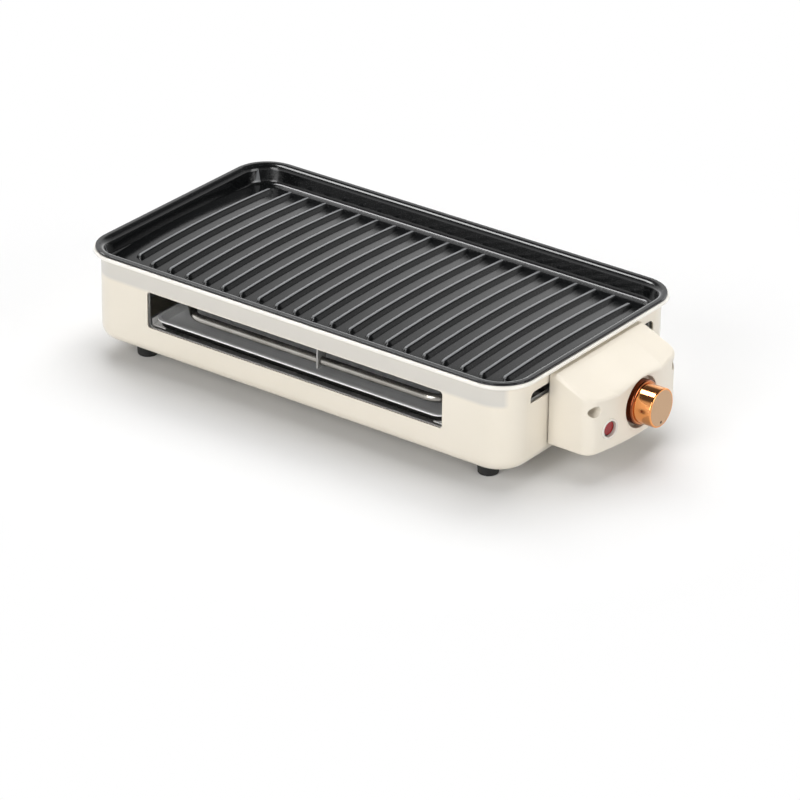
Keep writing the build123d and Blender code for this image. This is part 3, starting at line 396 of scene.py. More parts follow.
@dataclass(frozen=True)
class NonStickCoat(Finish):
    """Sprayed non-stick coat on cast aluminium: dark and glossy with fine pale flecks.

    A paler highlight is painted along the ridges' crests, and the underside is bare metal.
    """

    fleck: str = "4a4b4d"
    fleck_mm: float = 1.1  # real flecks are under 0.3 mm, drawn coarser to show
    fleck_core: float = 0.13
    fleck_edge: float = 0.24
    fleck_share: float = 0.5
    mist_levels: tuple[float, float] = (0.35, 0.7)
    skin_mm: float = 1.6
    skin_depth_mm: float = 0.006
    metal: str = "c8c9ca"
    metal_roughness: float = 0.45
    coat_facing: float = -0.55  # upright part of the normal where the coat ends
    metal_facing: float = -0.75  # and where the metal is quite bare
    # colour of the painted highlight along the left edge of each ridge's crest
    crest: str = "77787a"
    crest_left: float = -1.8 * MM
    crest_right: float = 0.9 * MM
    crest_low: float = 1.6 * MM
    crest_soft: float = 0.4 * MM
    ridge_pitch: float = 17.1 * MM
    ridge_reach: float = 94.0 * MM
    floor_z: float = 78.4 * MM
    crown_fall: float = 3.6 * MM  # how far the floor falls at crown_reach from its middle line
    crown_reach: float = 95.0 * MM

    def draw(self, tree: Tree, shader: Node) -> None:
        """Draws the flecks, the spray's mist, the painted highlight on the crests and the cast skin.

        Args:
            tree: Node tree of the material.
            shader: Its principled shader.
        """
        spot = self.place(tree)
        inputs = {"Vector": spot, "Scale": per_metre(self.fleck_mm), "Randomness": 1.0}
        cells = add_node(tree, "ShaderNodeTexVoronoi", inputs, feature="F1").outputs["Distance"]
        pale, dark, darkest = linear(self.fleck), linear(self.colour), linear(self.shade)
        stops = [(0.0, pale), (self.fleck_core, pale), (self.fleck_edge, dark)]
        flecks = add_node(tree, "ShaderNodeValToRGB", {"Fac": cells}, stops).outputs["Color"]
        fine = self.patches(tree, spot, self.fleck_mm / 2, Detail.SOFT)
        stops = list(zip(self.mist_levels, (darkest, dark)))
        mist = add_node(tree, "ShaderNodeValToRGB", {"Fac": fine}, stops).outputs["Color"]
        inputs = {SHARE: self.fleck_share, COLOUR_A: mist, COLOUR_B: flecks}
        spray = add_node(tree, "ShaderNodeMix", inputs, data_type="RGBA").outputs[COLOUR_OUT]
        # the paler crest colour is a painted highlight
        crest_highlit = self.paint(tree, spray, self.crest, self.crest_highlight_limits(tree))
        facing = add_node(tree, "ShaderNodeTexCoord").outputs["Normal"]
        upright = add_node(tree, "ShaderNodeSeparateXYZ", {"Vector": facing}).outputs["Z"]
        bare = self.mask(tree, [(upright, self.coat_facing, self.metal_facing)])
        inputs = {SHARE: bare, COLOUR_A: crest_highlit, COLOUR_B: linear(self.metal)}
        whole = add_node(tree, "ShaderNodeMix", inputs, data_type="RGBA").outputs[COLOUR_OUT]
        tree.links.new(whole, shader.inputs["Base Color"])
        tree.links.new(bare, shader.inputs["Metallic"])
        stops = [(0.0, grey(self.roughness)), (1.0, grey(self.metal_roughness))]
        dullness = add_node(tree, "ShaderNodeValToRGB", {"Fac": bare}, stops).outputs["Color"]
        tree.links.new(dullness, shader.inputs["Roughness"])
        skin = self.patches(tree, spot, self.skin_mm, Detail.FINE)
        self.emboss(tree, shader, skin, self.skin_depth_mm)

    def crest_highlight_limits(self, tree: Tree) -> list[Limit]:
        """Bounds the left edge of each ridge's crest, where a paler highlight is painted.

        Args:
            tree: Node tree of the material.

        Returns:
            Limits across a ridge, above the crowned floor and along the ridge.
        """
        spot = self.place(tree, middle=(BODY_X, 0.0, self.floor_z))
        parts = add_node(tree, "ShaderNodeSeparateXYZ", {"Vector": spot}).outputs
        half = self.ridge_pitch / 2
        inputs = {0: parts["X"], 1: half, 2: -half}
        across = add_node(tree, "ShaderNodeMath", inputs, operation="WRAP").outputs[0]
        inputs = {0: parts["Y"], 1: parts["Y"]}
        square = add_node(tree, "ShaderNodeMath", inputs, operation="MULTIPLY").outputs[0]
        inputs = {0: square, 1: self.crown_fall / self.crown_reach**2, 2: parts["Z"]}
        above = add_node(tree, "ShaderNodeMath", inputs, operation="MULTIPLY_ADD").outputs[0]
        soft = self.crest_soft
        return [
            (across, self.crest_left - soft, self.crest_left + soft),
            (across, self.crest_right + soft, self.crest_right - soft),
            (above, self.crest_low - soft, self.crest_low + soft),
            (square, self.ridge_reach**2, (self.ridge_reach - soft) ** 2),
        ]


@dataclass(frozen=True)
class RolledSteel(Finish):
    """Bright rolled steel sheet: pale, with long fine streaks along the roll."""

    metallic: float = 0.3
    along: Axis = Axis.X
    streak_mm: float = 0.5  # real streaks are about 0.05 mm, drawn coarser to show
    run_mm: float = 60.0
    streak_depth_mm: float = 0.0012

    def draw(self, tree: Tree, shader: Node) -> None:
        """Draws the streaks of the rolls.

        Args:
            tree: Node tree of the material.
            shader: Its principled shader.
        """
        squeeze = self.streak_mm / self.run_mm
        scale = tuple(squeeze if axis is self.along else 1.0 for axis in Axis)
        streaks = self.patches(tree, self.place(tree, scale), self.streak_mm, Detail.FINE)
        self.tint(tree, shader, streaks)
        self.polish(tree, shader, streaks)
        self.emboss(tree, shader, streaks, self.streak_depth_mm)


@dataclass(frozen=True)
class TraySteel(RolledSteel):
    """Bright rolled steel tray: its front wall below the folded rim is painted dark as shade."""

    # colour of the painted shade on the tray's front wall
    front_shade: str = "141312"
    rim_z: float = 43.9 * MM
    rim_soft: float = 0.4 * MM
    side_facing: float = -0.4  # forward part of the normal where the painted shade starts
    front_facing: float = -0.7  # and where it is full

    def draw(self, tree: Tree, shader: Node) -> None:
        """Draws the rolled sheet and the painted shade on the front wall.

        Args:
            tree: Node tree of the material.
            shader: Its principled shader.
        """
        super().draw(tree, shader)
        bright = shader.inputs["Base Color"].links[0].from_socket
        facing = add_node(tree, "ShaderNodeTexCoord").outputs["Normal"]
        forward = add_node(tree, "ShaderNodeSeparateXYZ", {"Vector": facing}).outputs["Y"]
        height = add_node(tree, "ShaderNodeSeparateXYZ", {"Vector": self.place(tree)}).outputs["Z"]
        # the front wall below the rim is painted dark as shade
        front = [
            (forward, self.side_facing, self.front_facing),
            (height, self.rim_z, self.rim_z - self.rim_soft),
        ]
        tree.links.new(self.paint(tree, bright, self.front_shade, front), shader.inputs["Base Color"])


@dataclass(frozen=True)
class DrawnTube(Finish):
    """Drawn steel tube: satin, with patches of a faint heat tint."""

    metallic: float = 1.0
    tarnish: str = "8f8982"
    tarnish_levels: tuple[float, float, float] = (0.25, 0.5, 0.75)
    tarnish_mm: float = 34.0
    mark_mm: float = 0.9
    mark_depth_mm: float = 0.004

    def draw(self, tree: Tree, shader: Node) -> None:
        """Draws the drawing marks and the tint of the first heating.

        Args:
            tree: Node tree of the material.
            shader: Its principled shader.
        """
        spot = self.place(tree)
        heat = self.patches(tree, spot, self.tarnish_mm, Detail.FINE)
        colours = (linear(self.tarnish), linear(self.shade), linear(self.colour))
        stops = list(zip(self.tarnish_levels, colours))
        tinted = add_node(tree, "ShaderNodeValToRGB", {"Fac": heat}, stops).outputs["Color"]
        tree.links.new(tinted, shader.inputs["Base Color"])
        marks = self.patches(tree, spot, self.mark_mm, Detail.FINE)
        self.polish(tree, shader, marks)
        self.emboss(tree, shader, marks, self.mark_depth_mm)


@dataclass(frozen=True)
class ZincPlate(Finish):
    """Zinc-plated steel: cool grey with a fine crystal mottle."""

    metallic: float = 1.0
    crystal_mm: float = 1.4
    crystal_depth_mm: float = 0.004

    def draw(self, tree: Tree, shader: Node) -> None:
        """Draws the crystals of the plating.

        Args:
            tree: Node tree of the material.
            shader: Its principled shader.
        """
        spot = self.place(tree)
        inputs = {"Vector": spot, "Scale": per_metre(self.crystal_mm)}
        cells = add_node(tree, "ShaderNodeTexVoronoi", inputs, feature="F1")
        self.tint(tree, shader, cells.outputs["Distance"])
        mottle = self.patches(tree, spot, self.crystal_mm, Detail.SOFT)
        self.polish(tree, shader, mottle)
        self.emboss(tree, shader, mottle, self.crystal_depth_mm)


@dataclass(frozen=True)
class PlatedCopper(Finish):
    """Polished copper plate on a turned knob: mirror-like, with painted shade on the skirt behind the
    barrel.
    """

    metallic: float = 1.0
    skirt_x: float = 215.7 * MM
    skirt_soft: float = 0.4 * MM
    turning_mm: float = 0.7
    turning_depth_mm: float = 0.0006
    wobble: float = 0.4
    smudge_mm: float = 7.0

    def draw(self, tree: Tree, shader: Node) -> None:
        """Draws fine turning lines round the knob, the painted shade on the skirt and smudges.

        Args:
            tree: Node tree of the material.
            shader: Its principled shader.
        """
        spot = self.place(tree, middle=(self.skirt_x, 0.0, DIAL_Z))
        reach = add_node(tree, "ShaderNodeSeparateXYZ", {"Vector": spot}).outputs["X"]
        barrel = [(reach, -self.skirt_soft, self.skirt_soft)]
        # the skirt behind the barrel gets the shade colour as painted shade
        plate = self.paint(tree, linear(self.shade), self.colour, barrel)
        tree.links.new(plate, shader.inputs["Base Color"])
        inputs = {
            "Vector": spot,
            "Scale": wave_scale(self.turning_mm),
            "Distortion": self.wobble,
            "Detail": Detail.PLAIN.value,
        }
        turning = add_node(
            tree, "ShaderNodeTexWave", inputs, wave_type="BANDS", bands_direction="X"
        ).outputs["Fac"]
        self.polish(tree, shader, self.patches(tree, spot, self.smudge_mm, Detail.FINE))
        self.emboss(tree, shader, turning, self.turning_depth_mm)


@dataclass(frozen=True)
class SpunDisc(Finish):
    """Spun aluminium disc, dyed champagne: fine rings round its middle that spread the light."""

    metallic: float = 1.0
    ring_mm: float = 0.5  # real rings are about 0.1 mm, drawn coarser to show
    ring_depth_mm: float = 0.004
    wobble: float = 0.6

    def draw(self, tree: Tree, shader: Node) -> None:
        """Draws the rings of the spinning tool.

        Args:
            tree: Node tree of the material.
            shader: Its principled shader.
        """
        inputs = {
            "Vector": self.place(tree, middle=(0.0, 0.0, DIAL_Z)),
            "Scale": wave_scale(self.ring_mm),
            "Distortion": self.wobble,
            "Detail": Detail.SOFT.value,
        }
        rings = add_node(
            tree, "ShaderNodeTexWave", inputs, wave_type="RINGS", rings_direction="X"
        ).outputs["Fac"]
        self.tint(tree, shader, rings)
        self.polish(tree, shader, rings)
        self.emboss(tree, shader, rings, self.ring_depth_mm)


@dataclass(frozen=True)
class TurnedMetal(Finish):
    """Turned brass or bent copper: bright, with fine tool marks and slight tarnish."""

    metallic: float = 1.0
    tarnish_mm: float = 6.0
    mark_mm: float = 0.6
    mark_depth_mm: float = 0.004

    def draw(self, tree: Tree, shader: Node) -> None:
        """Draws the tarnish and the tool marks.

        Args:
            tree: Node tree of the material.
            shader: Its principled shader.
        """
        spot = self.place(tree)
        self.tint(tree, shader, self.patches(tree, spot, self.tarnish_mm, Detail.FINE))
        marks = self.patches(tree, spot, self.mark_mm, Detail.SOFT)
        self.polish(tree, shader, marks)
        self.emboss(tree, shader, marks, self.mark_depth_mm)


@dataclass(frozen=True)
class ClearMoulding(Finish):
    """Clear moulded plastic or glass: smooth, glossy, and light passes through."""

    ior: float = 1.49
    coat: float = 0.15
    coat_roughness: float = 0.05
    clear: float = 0.5
    flow_mm: float = 5.0
    dimple_mm: float = 2.5
    dimple_depth_mm: float = 0.006

    def draw(self, tree: Tree, shader: Node) -> None:
        """Draws the slight unevenness of the moulding.

        Args:
            tree: Node tree of the material.
            shader: Its principled shader.
        """
        spot = self.place(tree)
        flow = self.patches(tree, spot, self.flow_mm, Detail.SOFT)
        self.tint(tree, shader, flow)
        self.polish(tree, shader, flow)
        dimples = self.patches(tree, spot, self.dimple_mm, Detail.PLAIN)
        self.emboss(tree, shader, dimples, self.dimple_depth_mm)
        shader.inputs["Transmission Weight"].default_value = self.clear


@dataclass(frozen=True)
class LampLens(ClearMoulding):
    """Clear red lens: its edge, where it sinks into the bezel, is painted dark as shade."""

    # colour of the painted shade round the lens's edge, off-centre towards one side
    bezel_shade: str = "160405"
    middle: Point = (209.9 * MM, -36.0 * MM, 41.7 * MM)
    clear_radius: float = 5.1 * MM
    edge_width: float = 0.7 * MM

    def draw(self, tree: Tree, shader: Node) -> None:
        """Draws the moulding and the painted shade at its edge.

        Args:
            tree: Node tree of the material.
            shader: Its principled shader.
        """
        super().draw(tree, shader)
        red = shader.inputs["Base Color"].links[0].from_socket
        spot = self.place(tree, middle=self.middle)
        away = add_node(tree, "ShaderNodeVectorMath", {0: spot}, operation="LENGTH").outputs["Value"]
        # the dark ring round the lens is painted shade from the bezel
        rim = [(away, self.clear_radius, self.clear_radius + self.edge_width)]
        tree.links.new(self.paint(tree, red, self.bezel_shade, rim), shader.inputs["Base Color"])


@dataclass(frozen=True)
class MouldedRubber(Finish):
    """Moulded black rubber: matt with a fine dusty bloom."""

    ior: float = 1.52
    bloom_mm: float = 4.0
    skin_mm: float = 0.8
    skin_depth_mm: float = 0.02

    def draw(self, tree: Tree, shader: Node) -> None:
        """Draws the bloom and the fine skin.

        Args:
            tree: Node tree of the material.
            shader: Its principled shader.
        """
        spot = self.place(tree)
        self.tint(tree, shader, self.patches(tree, spot, self.bloom_mm, Detail.SHARP))
        skin = self.patches(tree, spot, self.skin_mm, Detail.SOFT)
        self.polish(tree, shader, skin)
        self.emboss(tree, shader, skin, self.skin_depth_mm)


@dataclass(frozen=True)
class FiredCeramic(Finish):
    """Unglazed steatite ceramic: off-white, dense and matt with tiny specks."""

    ior: float = 1.6
    grain_mm: float = 0.7
    grain_depth_mm: float = 0.015

    def draw(self, tree: Tree, shader: Node) -> None:
        """Draws the specks and the pressed grain.

        Args:
            tree: Node tree of the material.
            shader: Its principled shader.
        """
        grain = self.patches(tree, self.place(tree), self.grain_mm, Detail.SHARP)
        self.tint(tree, shader, grain)
        self.polish(tree, shader, grain)
        self.emboss(tree, shader, grain, self.grain_depth_mm)


@dataclass(frozen=True)
class BraidedSleeve(Finish):
    """Glass-fibre braid on a heat-proof wire: crossed strands with a soft sheen."""

    strand_mm: float = 0.8
    strand_depth_mm: float = 0.08
    lean: float = 0.8
    sheen: float = 0.3

    def draw(self, tree: Tree, shader: Node) -> None:
        """Draws two sets of strands that cross.

        Args:
            tree: Node tree of the material.
            shader: Its principled shader.
        """
        spot = self.place(tree)
        sets = []
        for turn in (self.lean, -self.lean):
            inputs = {"Vector": spot, "Rotation": (turn, turn / 2, turn)}
            leaning = add_node(tree, "ShaderNodeMapping", inputs).outputs["Vector"]
            inputs = {"Vector": leaning, "Scale": wave_scale(self.strand_mm)}
            strands = add_node(tree, "ShaderNodeTexWave", inputs, bands_direction="DIAGONAL")
            sets.append(strands.outputs["Fac"])
        inputs = dict(enumerate(sets))
        cross = add_node(tree, "ShaderNodeMath", inputs, operation="MAXIMUM").outputs[0]
        self.tint(tree, shader, cross)
        self.polish(tree, shader, cross)
        self.emboss(tree, shader, cross, self.strand_depth_mm)
        shader.inputs["Sheen Weight"].default_value = self.sheen


class Finishes:
    """All finishes of the grill, each made into its material once."""

    CREAM_ENAMEL = StovedEnamel("stoved_enamel_cream", "e9e1d2", "e5ddcd", 0.34, 0.03)
    CREAM_PLASTIC = MouldedPlastic("moulded_pp_cream", "e9e1d2", "e6decf", 0.36, 0.03)
    NON_STICK = NonStickCoat("non_stick_coat_black", "0f1011", "090a0a", 0.16)
    BRIGHT_STEEL = RolledSteel("rolled_steel_bright", "f4f3f1", "e6e5e3", 0.46, 0.06)
    TRAY_STEEL = TraySteel("rolled_steel_tray", "f4f4f3", "e6e6e6", 0.40, 0.06)
    HANGER_STEEL = RolledSteel("rolled_steel_hanger", "a3a2a0", "8d8c8a", 0.38, 0.05)
    ELEMENT_STEEL = DrawnTube("drawn_steel_tube", "b3b0ac", "9d9a95", 0.20, 0.05)
    ZINC = ZincPlate("zinc_plated_steel", "c3c8cd", "a2a8ae", 0.36, 0.07)
    RUBBER = MouldedRubber("moulded_rubber_black", "191919", "0f0f0f", 0.62, 0.08)
    CERAMIC = FiredCeramic("steatite_ceramic", "ebe7dc", "ded8c9", 0.58, 0.06)
    # the copper's shade colour is painted shade on the knob's skirt
    COPPER_PLATE = PlatedCopper("copper_plate_polished", "eda265", "8a4a30", 0.10, 0.03)
    CHAMPAGNE = SpunDisc("spun_aluminium_champagne", "c5a484", "bf9d7c", 0.34, 0.03)
    RED_LENS = LampLens("clear_acrylic_red", "a50f16", "8c0a10", 0.12, 0.03, clear=0.1)
    PALE_BEZEL = MouldedPlastic("moulded_abs_pale", "e6e1d8", "dfd9cf", 0.24, grain_mm=0.7)
    BLACK_PLASTIC = MouldedPlastic(
        "moulded_phenolic_black", "1b1a19", "121110", 0.42, 0.06, grain_mm=0.8, grain_depth_mm=0.02
    )
    BRASS = TurnedMetal("turned_brass", "d0ac5c", "b8924a", 0.26, 0.05)
    COPPER_TUBE = TurnedMetal("drawn_copper_tube", "cf8e69", "b0704d", 0.28, 0.06)
    LAMP_GLASS = ClearMoulding(
        "blown_lamp_glass", "efece4", "e4dfd4", 0.06, 0.02, clear=0.8, ior=1.5
    )
    WIRE = BraidedSleeve("glass_fibre_braid", "b06a52", "7f4634", 0.62, 0.08)

    made: dict[str, bpy.types.Material] = {}

    @classmethod
    def of(cls, finish: Finish) -> bpy.types.Material:
        """Gives the material of a finish, made on first use.

        Args:
            finish: The finish.

        Returns:
            Its material.
        """
        if finish.name not in cls.made:
            cls.made[finish.name] = finish.material()
        return cls.made[finish.name]


def dress(node: str, finish: Finish) -> None:
    """Puts a finish on a carried-over solid.

    Args:
        node: Name of the solid.
        finish: Finish that it gets.
    """
    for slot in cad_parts[node].material_slots:
        slot.material = Finishes.of(finish)
    log.info("dressed %s as %s", node, finish.name)


def new_piece(name: str, mesh: bmesh.types.BMesh, finish: Finish, body: Body) -> None:
    """Makes a finished mesh a piece of the grill.

    Args:
        name: Name of the piece.
        mesh: Its shape, in the frame of the grill.
        finish: Its finish.
        body: Body that it moves with.
    """
    bmesh.ops.remove_doubles(mesh, verts=mesh.verts, dist=MERGE_GAP)
    bmesh.ops.recalc_face_normals(mesh, faces=mesh.faces)
    for face in mesh.faces:
        face.smooth = True
    data = bpy.data.meshes.new(name)
    mesh.to_mesh(data)
    mesh.free()
    made = bpy.data.objects.new(name, data)
    bpy.context.scene.collection.objects.link(made)
    data.materials.append(Finishes.of(finish))
    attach(made, body.value)
    log.info("made %s on %s", name, body.value)


def turned(profile: list[tuple[float, float]], place: Matrix, steps: int) -> bmesh.types.BMesh:
    """Spins a profile about the local Z axis.

    Args:
        profile: Radius and height of each point, in order along the outline.
        place: Where the turned shape goes.
        steps: Number of faces round it.

    Returns:
        The turned shape.
    """
    mesh = bmesh.new()
    points = [mesh.verts.new((radius, 0.0, height)) for radius, height in profile]
    edges = [mesh.edges.new(pair) for pair in zip(points, points[1:])]
    bmesh.ops.spin(
        mesh,
        geom=points + edges,
        cent=(0.0, 0.0, 0.0),
        axis=(0.0, 0.0, 1.0),
        angle=2 * math.pi,
        steps=steps,
        use_merge=True,
    )
    bmesh.ops.transform(mesh, matrix=place, verts=mesh.verts)
    return mesh


@dataclass
class Housing:
    """Painted body with its bottom, feet and bright liner."""

    sheets: tuple[str, ...] = ("base_plate", "heat_liner", "runner_left", "runner_right")
    fasteners: tuple[str, ...] = ("base_screws", "foot_screws", "foot_nuts", "runner_rivets")
    feet: tuple[str, ...] = (
        "foot_front_left", "foot_back_left", "foot_front_right", "foot_back_right"
    )

    def dress(self) -> None:
        """Puts the finishes on the body's solids."""
        dress("body_shell", Finishes.CREAM_ENAMEL)
        for node in self.sheets:
            dress(node, Finishes.BRIGHT_STEEL)
        dress("element_hanger", Finishes.HANGER_STEEL)
        for node in self.fasteners:
            dress(node, Finishes.ZINC)
        for node in self.feet:
            dress(node, Finishes.RUBBER)


@dataclass
class Cooking:
    """Grill plate, drip tray, heating tube and sensor."""

    def dress(self) -> None:
        """Puts the finishes on the cooking solids."""
        dress("grill_plate", Finishes.NON_STICK)
        dress("drip_tray", Finishes.TRAY_STEEL)
        dress("heating_element", Finishes.ELEMENT_STEEL)
        dress("terminal_bushes", Finishes.CERAMIC)
        dress("element_pins", Finishes.ZINC)
        dress("sensor_tube", Finishes.COPPER_TUBE)


@dataclass
class ControlCase:
    """Moulded case on the end wall with what is inside it."""

    sheets: tuple[str, ...] = ("control_back_plate", "thermostat_bracket")
    plated: tuple[str, ...] = (
        "back_plate_screws", "case_pillars", "case_screws", "thermostat_spindle", "thermal_fuse"
    )
    wires: tuple[str, ...] = ("lamp_leads", "wire_supply", "wire_live", "wire_neutral")

    def dress(self) -> None:
        """Puts the finishes on the solids of the case."""
        dress("control_case", Finishes.CREAM_PLASTIC)
        for node in self.sheets:
            dress(node, Finishes.BRIGHT_STEEL)
        for node in self.plated:
            dress(node, Finishes.ZINC)
        dress("thermostat_body", Finishes.CERAMIC)
        dress("thermostat_nut", Finishes.BRASS)
        dress("terminal_block", Finishes.BLACK_PLASTIC)
        for node in self.wires:
            dress(node, Finishes.WIRE)
        dress("cord_gland", Finishes.RUBBER)


@dataclass
class CaseCrest:
    """Arch of the case's front over the knob's recess, laid on the straight crease of the case."""

    recess_radius: float = 20.0 * MM
    front_x: float = 213.1 * MM
    back_x: float = 174.7 * MM
    top_z: float = 82.9 * MM
    crease_z: float = 66.0 * MM
    bulge_radius: float = 207.06 * MM
    arch: float = 6.0 * MM
    half_span: float = 44.0 * MM
    blend: float = 6.0 * MM
    half_angle: float = math.radians(84)
    top_room: float = 1.2 * MM
    sink: float = 0.05 * MM
    depth: float = 0.9 * MM
    edge_room: float = 0.15 * MM
    ray_start: float = 0.3  # well in front of the case
    fade_rate: float = 4.0  # the lift dies away over the outer quarter
    columns: int = 96
    rows: int = 28

    def surface_x(self, tree: BVHTree, y: float, z: float) -> float:
        """Gives how far forward the case reaches at y and z."""
        return tree.ray_cast(Vector((self.ray_start, y, z)), Vector((-1.0, 0.0, 0.0)))[0].x

    def arched_x(self, y: float, z: float) -> float:
        """Gives how far forward the arched front reaches.

        Args:
            y: Place across the case.
            z: Height.

        Returns:
            The nearer of the bulged front and the slope above it, with the crease rounded.
        """
        front = self.front_x - self.bulge_radius + math.sqrt(self.bulge_radius**2 - y**2)
        share = min(1.0, abs(y) / self.half_span)
        crest = self.crease_z + self.arch * math.cos(share * math.pi / 2) ** 2
        slope = self.back_x + (front - self.back_x) * (self.top_z - z) / (self.top_z - crest)
        near = max(0.0, 1 - abs(front - slope) / self.blend)
        return min(front, slope) - near * near * self.blend / 4

    def build(self) -> None:
        """Makes the arch on the case's surface."""
        graph = bpy.context.evaluated_depsgraph_get()
        tree = BVHTree.FromObject(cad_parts["control_case"], graph)
        mesh = bmesh.new()
        cuts = []
        for column in range(self.columns + 1):
            turn = self.half_angle * (2 * column / self.columns - 1)
            cuts.append(self.section(mesh, tree, turn))
        for before, after in zip(cuts, cuts[1:]):
            for at in range(len(before)):
                ahead = (at + 1) % len(before)
                mesh.faces.new((before[at], before[ahead], after[ahead], after[at]))
        mesh.faces.new(cuts[0])
        mesh.faces.new(cuts[-1][::-1])
        new_piece("case_crest", mesh, Finishes.CREAM_PLASTIC, Body.HOUSING)

    def section(self, mesh: bmesh.types.BMesh, tree: BVHTree, turn: float) -> list[bmesh.types.BMVert]:
        """Draws one cut through the arch, outwards from the recess.

        Args:
            mesh: Mesh that gets the points.
            tree: The case's surface.
            turn: Angle round the knob's axis, from straight up.

        Returns:
            The points, from the recess outwards and back below the surface.
        """
        across, up = math.sin(turn), math.cos(turn)
        high = (self.top_z - self.top_room - DIAL_Z) / up
        wide = self.half_span / abs(across) if across else math.inf
        reach = min(high, wide)
        over, under = [], []
        for row in range(self.rows + 1):
            share = row / self.rows
            radius = self.recess_radius + (reach - self.recess_radius) * share
            firm = max(radius, self.recess_radius + self.edge_room)
            ground = self.surface_x(tree, across * firm, DIAL_Z + up * firm)
            y, z = across * radius, DIAL_Z + up * radius
            rise = max(0.0, self.arched_x(y, z) - ground)
            lift = rise * min(1.0, (1 - share) * self.fade_rate) - self.sink
            over.append(mesh.verts.new((ground + lift, y, z)))
            under.append(mesh.verts.new((ground - self.depth, y, z)))
        return over + under[::-1]


@dataclass
class Dial:
    """Copper knob with its spun disc and pointer dot."""

    dot_offset: float = 11.4 * MM
    dot_radius: float = 1.05 * MM
    dot_depth: float = 0.55 * MM
    dot_wall_share: float = 0.7
    dot_top_share: float = 0.75
    dot_steps: int = 32

    def build(self) -> None:
        """Makes the dot in the disc."""
        low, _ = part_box("knob_face")
        facing = Matrix.Rotation(math.pi / 2, 4, "Y")
        place = Matrix.Translation((low.x, 0.0, DIAL_Z - self.dot_offset)) @ facing
        radius, depth = self.dot_radius, self.dot_depth
        profile = [
            (0.0, 0.0),
            (radius, 0.0),
            (radius, depth * self.dot_wall_share),
            (radius * self.dot_top_share, depth),
            (0.0, depth),
        ]
        dot = turned(profile, place, self.dot_steps)
        new_piece("dial_dot", dot, Finishes.BLACK_PLASTIC, Body.DIAL)

    def dress(self) -> None:
        """Puts the finishes on the knob's solids."""
        dress("knob", Finishes.COPPER_PLATE)
        dress("knob_face", Finishes.CHAMPAGNE)


@dataclass
class Indicator:
    """Red lamp window with its pale bezel."""

    def dress(self) -> None:
        """Puts the finishes on the indicator's solids."""
        dress("indicator_bezel", Finishes.PALE_BEZEL)
        dress("indicator_lens", Finishes.RED_LENS)
        dress("indicator_lamp", Finishes.LAMP_GLASS)


@dataclass(frozen=True)
class Lamp:
    """One soft square lamp, facing the middle of the grill.

    Attributes:
        name: Name of the lamp.
        spot: Where it hangs.
        size: Side of the square.
        power: Power in watts.
        lights: What it lights.
        aim: Point that it faces.
    """

    name: str
    spot: Point
    size: float
    power: float
    lights: Lights
    aim: Point = (0.0, 0.0, 0.06)

    def hang(self) -> None:
        """Adds the lamp to the scene."""
        data = bpy.data.lights.new(self.name, "AREA")
        data.size = self.size
        data.energy = self.power
        lamp = bpy.data.objects.new(self.name, data)
        spot, aim = Vector(self.spot), Vector(self.aim)
        turn = (spot - aim).to_track_quat("Z", "Y").to_matrix().to_4x4()
        lamp.matrix_world = Matrix.Translation(spot) @ turn
        lamp.visible_glossy = self.lights is not Lights.DIFFUSE
        lamp.visible_diffuse = self.lights is not Lights.GLOSS
        bpy.context.scene.collection.objects.link(lamp)


